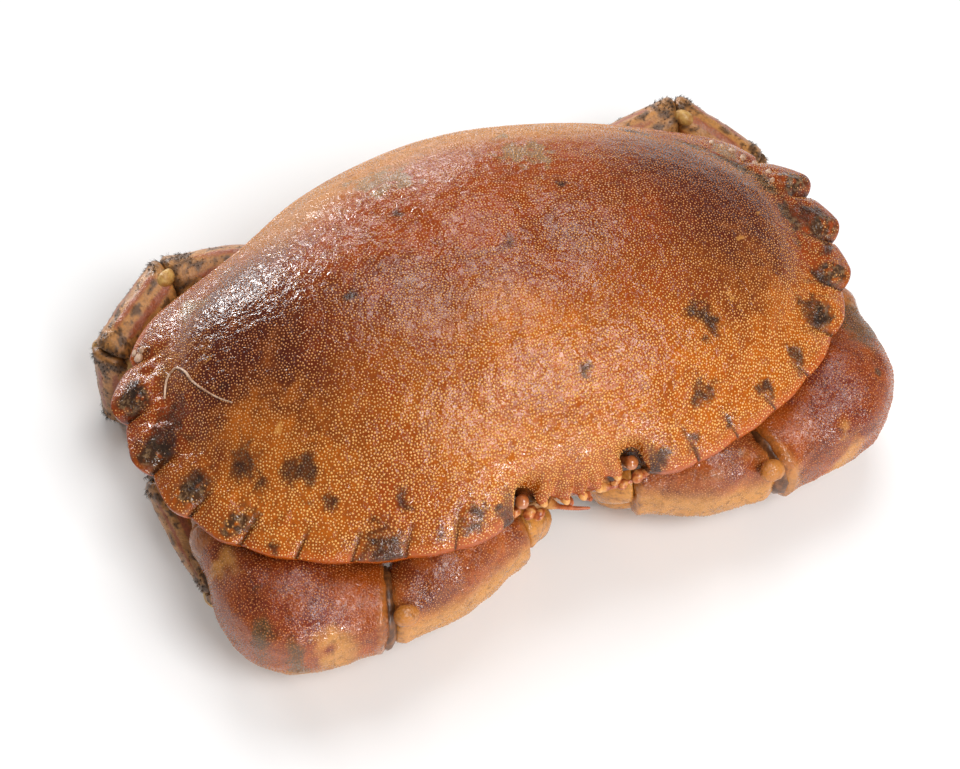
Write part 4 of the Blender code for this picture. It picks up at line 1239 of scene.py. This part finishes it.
def shell_fields(points, share, upper, angle, lobe, along_lobe):
    """Colour fields of the shell's skin, and how thick and large its granules are."""
    inward = oval_radius(angle) * (1 - share)
    wander = rough(points, 5.0, 4.0)
    drift = np.column_stack([rough(points, 3.5, 8.0), rough(points, 3.5, 9.0)])
    near, number = fissure_distance(angle, oval_radius(angle) * share)
    behind = smooth_step(0.1, 0.9, np.sin(angle))
    ahead = smooth_step(8, -24, points[:, 1])
    streak = bell(near, 0, np.maximum(0.3, 0.3 + 0.17 * inward + 0.4 * wander)) * (number < LOBES)
    streak *= (1 - smooth_step(4.0, 8.5, inward + 2.5 * wander)) * (0.55 + 0.45 * np.exp(-inward / 2.0))
    side = smooth_step(25, 55, np.abs(points[:, 0])) * (1 - smooth_step(0.72, 0.95, share))
    # Painted shade in and round each eye socket, reaching further on the underside below it.
    orbit = np.zeros(len(points))
    for turn in (1, -1):
        far = np.linalg.norm(points - (turn * ORBIT[0] + HEAD_SHIFT, *ORBIT[1:]), axis=1)
        orbit = np.maximum(orbit, 1 - smooth_step(2.3, 4.4, far + 0.6 * wander - np.where(upper, 0, 3.0)))
    on_side = smooth_step(3.5, 5.5, lobe)
    hollow = 1.1 * bell(along_lobe, 0.22, 0.24) * bell(inward, 3.6 + 1.5 * wander, 3.2)
    hollow *= smooth_step(-0.75, 0.1, rough(points, 1.8, 11.0)) * on_side
    trench = bell(share, 0.885 + 0.02 * wander, 0.028) * smooth_step(0.72, 0.9, np.abs(np.cos(angle)))
    trench *= smooth_step(-0.35, 0.0, np.sin(angle)) * (1 - smooth_step(0.55, 0.75, np.sin(angle)))
    trench *= np.where(points[:, 0] > 0, 1.0, 0.45) * smooth_step(-0.7, 0.1, rough(points, 4.0, 21.0))
    bright = (1 - 0.6 * on_side) * (1 - smooth_step(0.3, 1.9, inward))
    small = 0.12 * behind + 0.28 * (1 - smooth_step(0.5, 3.0, inward))
    hair = smooth_step(0.0, 0.15, inward) * (0.93 + 0.07 * wander) * (1 - 0.8 * np.clip(hollow, 0, 1))
    return {
        "dirt": np.maximum(hollow, trench) * upper,
        "stain": np.maximum(patches(points, STAINS, drift), streak) * upper,
        "orbit": orbit,
        "fleck": patches(points, FLECKS, drift, 0.0, 0.95) * upper,
        "ochre": np.clip(0.55 * ahead + 0.45 * patches(points, OCHRE, drift, 0.0, 1.9), 0, 1) * upper,
        "pale": smooth_step(0.25, 0.85, np.sin(angle)) * smooth_step(0.5, 0.86, share),
        "grey": patches(points, GREY, drift, 0.2, 1.3) * upper,
        "deep": (0.35 + 0.65 * side - 0.3 * behind) * upper,
        "rim": np.where(upper, bright, smooth_step(-LIP - 1.2, -LIP + 0.6, points[:, 2])),
        "under": np.where(upper, 0, 1 - smooth_step(-LIP - 2.5, -LIP, points[:, 2])),
        "hair": upper * hair,
        "length": 0.92 - small + 0.26 * smooth_step(-8, -30, points[:, 1]) + 0.1 * wander,
    }


class CRAB_OT_shell(bpy.types.Operator):
    """Builds the broad shell with its lobes, fissures, teeth and marks."""

    bl_idname = "crab.shell"
    bl_label = "Shell"

    def execute(self, context):
        margin = whole_margin()
        out = np.concatenate([np.linspace(*part) for part in TOP_RINGS])
        rings = [on_body(s, margin, shell_top(s, margin)) for s in out]
        edge_level = shell_top(1.0, margin)
        rings += [on_body(s, margin, edge_level * (1 - part) - LIP * part) for s, part in LIP_RINGS]
        rings += [on_body(s, margin, under_level(s)) for s in UNDER_RINGS]
        top = (0.0, CENTRE_Y, float(shell_top(0.0, margin)[0]))
        points, faces = closed_skin(rings, top, (0.0, CENTRE_Y, -BODY_DEPTH))
        share = np.concatenate([[0.0], np.repeat(out, len(margin))])
        upper = np.arange(len(points)) < len(share)
        share = np.append(share, np.ones(len(points) - len(share)))
        angle, *lobe = (np.concatenate([[0.0], np.tile(margin[:, k], len(rings)), [0.0]]) for k in (0, 4, 5))
        inward = oval_radius(angle) * (1 - share)
        relief = 0.22 * rough(points, 9.0, 1.0) + 0.13 * rough(points, 2.6, 2.0)
        folded = np.column_stack([angle * 60, inward * 0.45, 0 * angle])
        lateral = smooth_step(50, 62, np.abs(points[:, 0])) * (points[:, 1] < 18)
        relief += 1.1 * rough(folded, 2.6, 6.0) * lateral * bell(inward, 4.5, 4.0)
        points[:, 2] += np.where(upper, relief * (1 - 0.7 * smooth_step(0.9, 1.0, share)), 0)
        obj = mesh_object("shell", points, faces)
        store(obj.data, **shell_fields(points, share, upper, angle, *lobe))
        settle(obj, ["carapace"], "shell", shell_paint(context.scene.crab_colours))
        paint = grit_paint()

        def above(x, y):
            near = np.hypot(points[:, 0] - x, points[:, 1] - y) + np.where(upper, 0, 99)
            return points[near.argmin(), 2]

        path = [(x, y, above(x, y) + THREAD_RISE) for x, y in THREAD]
        thread, _ = limb_object("shell_thread", path, THREAD_SIZES, sides=8, count=80)
        settle(thread, [], "shell", paint)
        grit = []
        for x, y, size in GRIT:
            half_sizes = (size, size * 0.75, size * 0.6)
            grit.append(blob((x, y, above(x, y)), half_sizes, (1, 0.4 + y / 30, 0), 12, 7))
        bits = blobs_object("shell_grit", grit)
        points = plan_points(bits.data)
        sway = np.column_stack([rough(points, 0.7, k) for k in (1.0, 2.0, 3.0)])
        set_points(bits.data, points + 0.15 * sway)
        settle(bits, [], "shell", paint)
        return {"FINISHED"}


class CRAB_OT_granules(bpy.types.Operator):
    """Sets the pale granules over the shell's upper side and the claws."""

    bl_idname = "crab.granules"
    bl_label = "Granules"

    def execute(self, context):
        sizes = context.scene.crab_sizes
        shape, local = granule_shape()
        each = len(shape.data.vertices)
        tree = scatter_tree("granule_scatter", False)
        finish = granule_paint()
        shared = {"Shape": shape, "Packing": GRANULE_PACKING, "Unevenness": 0.0}
        whole = scattered("granules", bpy.data.objects["shell"], tree, **shared, Finish=finish,
                          Spacing=sizes.granule_spacing, Size=sizes.granule_width)
        points = plan_points(whole.data).reshape(-1, each, 3)
        roots = points.mean(1)
        kept = {key: stored(whole.data, key)[::each] for key in ("rim", "stain", "deep", "ochre", "dirt")}
        foot = stored(shape.data, "foot")
        faces = [tuple(f.vertices) for f in shape.data.polygons]
        triangles = sum(len(f) - 2 for f in faces)
        pieces = math.ceil(len(roots) * triangles / PIECE_TRIANGLES)
        for number, chosen in enumerate(np.array_split(np.argsort(roots[:, 0]), pieces)):
            mesh = bpy.data.meshes.new(f"granules_{number + 1}")
            starts = range(0, len(chosen) * each, each)
            listed = [tuple(start + v for v in f) for start in starts for f in faces]
            mesh.from_pydata(((points[chosen].reshape(-1, 3) + SHIFT) * MM).tolist(), [], listed)
            mesh.shade_smooth()
            obj = linked(mesh.name, mesh)
            store(mesh, **{key: np.repeat(values[chosen], each) for key, values in kept.items()})
            store(mesh, foot=np.tile(foot, len(chosen)))
            lay_out_bake(obj, each, local, roots[chosen, :2] / BAKE_WIDTH + 0.5)
            settle(obj, [], "shell", finish)
        finish = claw_granule_paint()
        for side_name in SIDES:
            for label in ("wrist", "palm"):
                skin = bpy.data.objects[f"claw_{label}_{side_name}"]
                grains = scattered(f"claw_{label}_granules_{side_name}", skin, tree, **shared, Finish=finish,
                                   Spacing=sizes.claw_granule_spacing, Size=sizes.claw_granule_width)
                lay_out_bake(grains, each, local, skin_places(grains, each))
                settle(grains, [], "claw", finish)
        discard(whole, shape)
        return {"FINISHED"}


def claw_joints(side_name):
    """The claw's base, elbow, wrist middle, wrist and finger root on a side."""
    given = (CLAW_BASE, CLAW_ELBOW, CLAW_MIDDLE, CLAW_WRIST, FINGER_ROOTS[side_name])
    base, elbow, middle, wrist, root = mirrored(given, SIDES[side_name])
    shift, palm_shift = np.array(CLAW_SHIFTS[side_name], float), np.array(PALM_SHIFTS[side_name], float)
    return base, elbow + shift, middle + shift, wrist + palm_shift, root + palm_shift


def finish_claw(obj, line, material, node, seed, tipped=False, low_at=-20.0, blush=(0.5, 0.3), marks=(),
                warmth=0.0):
    """Gives a claw segment its swells, its colour fields and its marks."""
    mesh = obj.data
    points = plan_points(mesh)
    share, turn, ahead = along_limb(points, line)
    relief = 0.45 * rough(points, 8.0, seed) + 0.16 * rough(points, 2.6, seed + 1)
    relief += 0.05 * rough(points, 1.1, seed + 2)
    points = lift_off_floor(points + normals_of(mesh) * relief[:, None])
    set_points(mesh, points)
    drift = 0.6 * rough(points, 6.0, seed + 2)
    sway = np.column_stack([drift, -drift])
    spots = {}
    for kind in MARK_KINDS:
        spots[kind] = patches(points, [place for name, *place in marks if name == kind], sway)
    # Painted sheen: a purple-brown band on the segment's upper side, about a given share along it.
    sheen = 0.7 * smooth_step(0.2, 0.9, np.sin(turn) + drift) * bell(share, *blush)
    low = 1 - smooth_step(low_at - 7, low_at + 4, points[:, 2]) + warmth
    store(
        mesh, **layout(share, turn, ahead * 0.9), olive=spots["olive"], dirt=spots["dirt"],
        blush=np.maximum(sheen, spots["blush"]), low=np.maximum(low, spots["low"]),
        edge=0.45 * (bell(share, 0, 0.05) + bell(share, 1, 0.04)),
        tip=smooth_step(*CLAW_TIP, share) * tipped, length=1 + 0.2 * drift,
        hair=smooth_step(0.0, 0.05, share) * (1 - smooth_step(0.94, 1.0, share)),
    )
    return settle(obj, [node], "claw", material)


class CRAB_OT_claws(bpy.types.Operator):
    """Builds both folded claws with their black finger tips."""

    bl_idname = "crab.claws"
    bl_label = "Claws"

    def execute(self, context):
        paint, joint = claw_paint(context.scene.crab_colours), joint_paint()
        for side_name, side in SIDES.items():
            base, elbow, middle, wrist, root = claw_joints(side_name)
            bends = [base, elbow, wrist, root]
            at_elbow, at_wrist = joint_normal(bends, 1), joint_normal(bends, 2)
            path = [base, (base + elbow) / 2, elbow]
            upper, line = limb_object(f"claw_upper_{side_name}", path, CLAW_MERUS)
            cut_away(upper, elbow, at_elbow)
            finish_claw(upper, line, paint, f"claw_merus_{side_name}", 3.0)
            shape = dict(sides=72, count=64)
            path = [elbow, middle, wrist]
            wristed, line = limb_object(f"claw_wrist_{side_name}", path, CLAW_CARPUS, fullness=2.5, **shape)
            cut_away(wristed, elbow, -at_elbow)
            cut_away(wristed, wrist, at_wrist, 1.6)
            finish_claw(wristed, line, paint, f"claw_carpus_{side_name}", 5.0 + side,
                        marks=WRIST_MARKS[side_name], warmth=WRIST_WARMTH[side_name])
            along = unit(root - wrist)
            path = [wrist, (wrist + root) / 2, root + along * 2]
            palm, line = limb_object(f"claw_palm_{side_name}", path, CLAW_PALM, fullness=2.3, **shape)
            cut_away(palm, wrist, -at_wrist, 5.0)
            cut_away(palm, root + along * FINGER_JOINT, along, 1.2)
            pads = [blob(wrist, WRIST_PAD, at_wrist), blob(elbow, ELBOW_PAD, at_elbow)]
            settle(blobs_object(f"claw_joint_skin_{side_name}", pads), [], "claw", joint)
            x, y, z = PALM_KNOB_PLACE
            with_blobs(palm, [blob(wrist + np.array([side * x, y, z]), PALM_KNOB, (side, 0.1, 0))])
            finish_claw(palm, line, paint, f"claw_propodus_{side_name}", 9.0 + side,
                        low_at=-13.5, blush=(0.3, 0.3), warmth=0.25)
            store(palm.data, edge=np.maximum(stored(palm.data, "edge"), stored(palm.data, "knob")))
            for label, node, given, sizes, seed in (
                ("fixed", "propodus", FIXED_FINGER_PATH, FIXED_FINGER, 11.0),
                ("moving", "dactylus", MOVING_FINGER_PATH, MOVING_FINGER, 13.0),
            ):
                name = f"claw_finger_{label}_{side_name}"
                path = [root + np.array((side * x, y, z)) for x, y, z in given]
                finger, line = limb_object(name, path, sizes, sides=32, count=36)
                if label == "moving":
                    cut_away(finger, root + along * FINGER_JOINT, -along)
                finish_claw(finger, line, paint, f"claw_{node}_{side_name}", seed, True, 0.0)
        return {"FINISHED"}


def leg_fields(mesh, line, segment, seed):
    """Colour bands, hair cover and lie of one leg segment."""
    points = plan_points(mesh)
    share, turn, ahead = along_limb(points, line)
    wander = rough(points, 3.0, seed)
    clumps = smooth_step(-0.25, 0.3, rough(points, 1.9, seed + 3))
    gaps = [np.abs((turn - angle + math.pi) % (2 * math.pi) - math.pi) for angle in BRISTLE_ROWS]
    rows = bell(np.min(gaps, axis=0), 0, 0.26)
    collar = bell(share, 0, 0.1) + bell(share, 1, 0.14)
    held = np.clip(collar, 0, 1)
    hair = np.clip(0.9 * rows + collar + 0.35 * wander, 0, 1) * np.maximum(clumps, 0.4 * held)
    long, tip = 0.45 + 0.5 * held, 0 * share
    if segment == "dactylus":
        hair = 0.8 * rows * (1 - smooth_step(0.72, 0.9, share))
        long, tip = 0.55 + 0 * share, smooth_step(0.82, 0.94, share)
    band = np.clip(1.1 - 1.4 * rows - collar, 0, 1) * smooth_step(-0.5, 0.3, np.sin(turn))
    clear = 1 - stored(mesh, "knob")
    store(mesh, hair=hair * clear, length=long, band=band * clear, tip=tip)
    store(mesh, **layout(share, turn, ahead * 1.1))


class CRAB_OT_legs(bpy.types.Operator):
    """Builds the eight walking legs with their yellow joint knobs."""

    bl_idname = "crab.legs"
    bl_label = "Legs"

    def execute(self, context):
        paint = leg_paint(context.scene.crab_colours)
        for side_name, side in SIDES.items():
            for name, given in LEG_JOINTS.items():
                far = np.array(LEG_SHIFTS.get((name, side_name), (0, 0, 0)))
                given = [np.array(p) + (far if i in (2, 3) else 0) for i, p in enumerate(given)]
                given.append((given[0] + given[1]) / 2 + np.array(LEG_BOWS.get(name, (0, 0, 0))))
                *joints, bow = mirrored(given, side)
                for i, segment in enumerate(SEGMENTS):
                    start, end = joints[i], joints[i + 1]
                    sizes = []
                    for values in (LEG_WIDTHS, LEG_HEIGHTS):
                        swell = (values[i] + values[i + 1]) / 2 * SEGMENT_SWELL[i]
                        sizes.append([values[i], swell, values[i + 1]])
                    full = f"{name}_{segment}_{side_name}"
                    path = [start, (start + end) / 2 if i else bow, end]
                    obj, line = limb_object(full + "_skin", path, sizes, sides=36, count=34)
                    knobs = []
                    if i > 0:
                        cut_away(obj, start, -joint_normal(joints, i), 1.2)
                        ahead = unit(end - start)
                        out = unit(np.cross(joint_normal(joints, i), ahead)) * LEG_WIDTHS[i] * LEG_KNOB_REACH
                        place = start + ahead * LEG_KNOB_AHEAD
                        knobs = [blob(place + way * out, LEG_KNOB, ahead) for way in (1, -1)]
                    if i < 3:
                        cut_away(obj, end, joint_normal(joints, i + 1), 1.2)
                    with_blobs(obj, knobs)
                    points, knob = plan_points(obj.data), stored(obj.data, "knob")
                    share, turn, _ = along_limb(points, line)
                    ridge = 0.3 * np.cos(turn * 4) * np.sin(np.pi * share) * (1 - knob)
                    relief = ridge + 0.22 * rough(points, 3.5, i + 1.0) + 0.06 * rough(points, 1.2, i + 5.0)
                    push_out(obj.data, relief, 0.02 * i + 0.05 * knob)
                    leg_fields(obj.data, line, segment, i + 7.0)
                    settle(obj, [full], "leg", paint)
        return {"FINISHED"}


class CRAB_OT_head(bpy.types.Operator):
    """Builds the eyes, the two pairs of feelers and the flaps over the mouth."""

    bl_idname = "crab.head"
    bl_label = "Head"

    def execute(self, context):
        eye, belly, feeler = eye_paint(), belly_paint(context.scene.crab_colours), feeler_paint()
        teeth = []
        for x, y, z, size in TEETH:
            teeth.append(blob((x + HEAD_SHIFT, y, z), (size, size * 0.8, size * 0.75), (0, 1, 0.1), 12, 8))
        tips = blobs_object("front_teeth", teeth)
        x, y, _ = plan_points(tips.data).T
        store(tips.data, pale=smooth_step(0.2, 1.0, TEETH_PALE_Y + 1.6 * np.abs(x - HEAD_SHIFT) / 8.3 - y))
        settle(tips, [], "shell", feeler)
        knobs = []
        for x, y, z, size in CORNER_KNOBS:
            knobs.append(blob((x, y, z), (size * 1.3, size, size * 0.9), (0.8, 0.5, 0.2)))
        corners = blobs_object("corner_knobs", knobs)
        wander = rough(plan_points(corners.data), 0.9, 3.0)
        push_out(corners.data, 0.12 * wander)
        store(corners.data, pale=0.35 + 0.5 * wander)
        settle(corners, [], "shell", feeler)
        for side_name, side in SIDES.items():
            path, name = mirrored(EYE_PATH, side), f"eye_ball_{side_name}"
            ball, line = limb_object(name, path, (EYE_SIZES, EYE_SIZES), sides=28, count=26)
            share, _, _ = along_limb(plan_points(ball.data), line)
            store(ball.data, flesh=1 - smooth_step(0.5, 0.8, share))
            settle(ball, [f"eye_{side_name}"], "eye", eye)
            for label, path, radii, rings in (
                ("antenna", ANTENNA_PATHS[side_name], ANTENNA_SIZES, 26),
                ("antennule", ANTENNULE_PATH, ANTENNULE_SIZES, 9),
            ):
                path, name = mirrored(path, side), f"{label}_feeler_{side_name}"
                obj, line = limb_object(name, path, (radii, radii), sides=16, count=70)
                share, _, _ = along_limb(plan_points(obj.data), line)
                push_out(obj.data, 0.06 * np.sin(share * rings * 2 * math.pi))
                store(obj.data, pale=0.8 * (1 - smooth_step(0.3, 0.55, share)))
                settle(obj, [f"{label}_{side_name}"], "shell", feeler)
            path, name = mirrored(FOOT_JAW_PATH, side), f"mouth_flap_{side_name}"
            flap, line = limb_object(name, path, FOOT_JAW_SIZES, up=FOOT_JAW_UP, fullness=3.0)
            share, _, _ = along_limb(plan_points(flap.data), line, FOOT_JAW_UP)
            groove = bell(share, 0.42, 0.03)
            push_out(flap.data, -0.25 * groove)
            # The mouth flaps take the painted shade of the front.
            store(flap.data, groove=groove, front=0.6 + 0 * share)
            settle(flap, [f"maxilliped_{side_name}"], "belly", belly)
        return {"FINISHED"}


def finer_copy(name, source):
    """A copy of a solid's mesh, joined into quads and subdivided smoothly."""
    mesh = source.data.copy()
    mesh.materials.clear()
    for layer in list(mesh.uv_layers):
        mesh.uv_layers.remove(layer)
    obj = linked(name, mesh)
    bm = bmesh.new()
    bm.from_mesh(mesh)
    bmesh.ops.remove_doubles(bm, verts=bm.verts, dist=1e-6)
    bmesh.ops.join_triangles(bm, faces=bm.faces, angle_face_threshold=0.7, angle_shape_threshold=0.9)
    bmesh.ops.recalc_face_normals(bm, faces=bm.faces)
    bm.to_mesh(mesh)
    bm.free()
    step = obj.modifiers.new("finer", "SUBSURF")
    step.levels = step.render_levels = 2
    graph = bpy.context.evaluated_depsgraph_get()
    obj.data = bpy.data.meshes.new_from_object(obj.evaluated_get(graph))
    obj.modifiers.clear()
    obj.data.shade_smooth()
    return obj


class CRAB_OT_belly(bpy.types.Operator):
    """Builds the chest under the shell and the tucked abdomen."""

    bl_idname = "crab.belly"
    bl_label = "Belly"

    def execute(self, context):
        paint = belly_paint(context.scene.crab_colours)
        chest = finer_copy("chest", frame["nodes"]["thorax"])
        points = plan_points(chest.data)
        x, y, z = points.T
        seams = [bell(y, at + 0.12 * np.abs(x), 0.7) for at in CHEST_SEAMS] + [bell(x, 0, 0.6)]
        seams = np.max(seams, axis=0) * (1 - smooth_step(-27, -22, z))
        push_out(chest.data, 0.15 * rough(points, 4.0, 2.0) - 0.5 * seams)
        # The chest's front takes painted shade under the shell's front edge.
        store(chest.data, groove=seams, front=1 - smooth_step(-34, -24, plan_points(chest.data)[:, 1]))
        settle(chest, ["thorax"], "belly", paint)
        path = [(0, y, z) for y, z in ABDOMEN_PATH]
        sizes = (ABDOMEN_WIDTHS, [ABDOMEN_THICKNESS] * len(path))
        tail, line = limb_object("tail_flap", path, sizes, up=ABDOMEN_UP, sides=72, count=110, fullness=2.6)
        points = plan_points(tail.data)
        share, _, _ = along_limb(points, line, ABDOMEN_UP)
        seams = np.max([bell(share, at, 0.012) for at in TAIL_SEAMS], axis=0)
        push_out(tail.data, 0.1 * rough(points, 4.0, 3.0) - 0.45 * seams)
        store(tail.data, groove=seams, front=0 * share)
        settle(tail, ["abdomen"], "belly", paint)
        return {"FINISHED"}


class CRAB_OT_bristles(bpy.types.Operator):
    """Sets dark bristle tufts along the legs and thick at their joints."""

    bl_idname = "crab.bristles"
    bl_label = "Bristles"

    def execute(self, context):
        sizes = context.scene.crab_sizes
        shape, local = tuft_shape(1)
        each = len(shape.data.vertices)
        tree = scatter_tree("bristle_scatter", True)
        paint = bristle_paint()
        for side_name in SIDES:
            for name in LEG_JOINTS:
                skins = [bpy.data.objects[f"{name}_{segment}_{side_name}_skin"] for segment in SEGMENTS]
                whole = joined_skin("whole_leg", skins)
                coat = scattered(f"{name}_bristles_{side_name}", whole, tree, Shape=shape, Finish=paint,
                                 Spacing=sizes.tuft_spacing, Size=sizes.tuft_length, Packing=TUFT_PACKING,
                                 Unevenness=sizes.tuft_lean)
                set_points(coat.data, lift_off_floor(plan_points(coat.data), 0.02))
                lay_out_bake(coat, each, local, skin_places(coat, each))
                settle(coat, [], "leg", paint)
                discard(whole)
        discard(shape)
        return {"FINISHED"}


class CRAB_OT_stage(bpy.types.Operator):
    """Lays the floor and sets the lamps and the camera."""

    bl_idname = "crab.stage"
    bl_label = "Stage"

    def execute(self, context):
        scene = context.scene
        mesh = bpy.data.meshes.new("floor")
        ways = ((-1, -1), (1, -1), (1, 1), (-1, 1))
        corners = [(x * FLOOR_REACH, y * FLOOR_REACH, FLOOR) for x, y in ways]
        mesh.from_pydata(corners, [], [(0, 1, 2, 3)])
        mesh.materials.append(Paint("floor_card").finish(FLOOR_TONE, 0.8))
        floor = linked("floor", mesh)
        world = bpy.data.worlds.new("studio")
        world.use_nodes = True
        sky = world.node_tree.nodes["Background"].inputs
        sky["Color"].default_value, sky["Strength"].default_value = (1.0, 1.0, 1.0, 1.0), SKY_LIGHT
        scene.world = world
        for name, place, width, power, target in LAMPS:
            lamp = bpy.data.lights.new(name, "AREA")
            lamp.size, lamp.energy = width, power
            obj = linked(name, lamp)
            obj.location = place
            obj.rotation_mode = "QUATERNION"
            obj.rotation_quaternion = (Vector(target) - Vector(place)).to_track_quat("-Z", "Y")
        scene.view_settings.view_transform = "Standard"
        az, el, roll = (math.radians(v) for v in (CAMERA_AZIMUTH, CAMERA_ELEVATION, CAMERA_ROLL))
        back = Vector((math.sin(az) * math.cos(el), -math.cos(az) * math.cos(el), math.sin(el)))
        right = Vector((math.cos(az), math.sin(az), 0.0))
        up = back.cross(right)
        turned = right * math.cos(roll) + up * math.sin(roll)
        upright = up * math.cos(roll) - right * math.sin(roll)
        camera = linked("camera", bpy.data.cameras.new("camera"))
        camera.data.lens = CAMERA_LENS
        camera.data.sensor_width = SENSOR_WIDTH
        camera.data.clip_start, camera.data.clip_end = 0.01, 20.0
        place = Vector((np.array(CAMERA_TARGET) + SHIFT) * MM) + back * CAMERA_DISTANCE * MM
        camera.matrix_world = Matrix((*zip(turned, upright, back, place), (0, 0, 0, 1)))
        scene.camera = camera
        return {"FINISHED"}


class CRAB_PT_panel(bpy.types.Panel):
    """Lists the crab's pieces and sizes in the sidebar."""

    bl_idname = "CRAB_PT_panel"
    bl_label = "Cooked brown crab"
    bl_space_type = "VIEW_3D"
    bl_region_type = "UI"
    bl_category = "Crab"

    def draw(self, context):
        for group in (context.scene.crab_sizes, context.scene.crab_colours):
            for key in group.__annotations__:
                self.layout.prop(group, key)
        for step in STEPS:
            self.layout.operator(step.bl_idname)


STEPS = (
    CRAB_OT_shell, CRAB_OT_claws, CRAB_OT_granules, CRAB_OT_legs,
    CRAB_OT_head, CRAB_OT_belly, CRAB_OT_bristles, CRAB_OT_stage,
)
CLASSES = (CrabSizes, CrabColours, *STEPS, CRAB_PT_panel)


def register():
    for made in CLASSES:
        bpy.utils.register_class(made)
    bpy.types.Scene.crab_sizes = bpy.props.PointerProperty(type=CrabSizes)
    bpy.types.Scene.crab_colours = bpy.props.PointerProperty(type=CrabColours)


def unregister():
    del bpy.types.Scene.crab_colours
    del bpy.types.Scene.crab_sizes
    for made in reversed(CLASSES):
        bpy.utils.unregister_class(made)


def main():
    register()
    for step in STEPS:
        area, name = step.bl_idname.split(".")
        getattr(getattr(bpy.ops, area), name)()


if __name__ == "__main__":
    main()
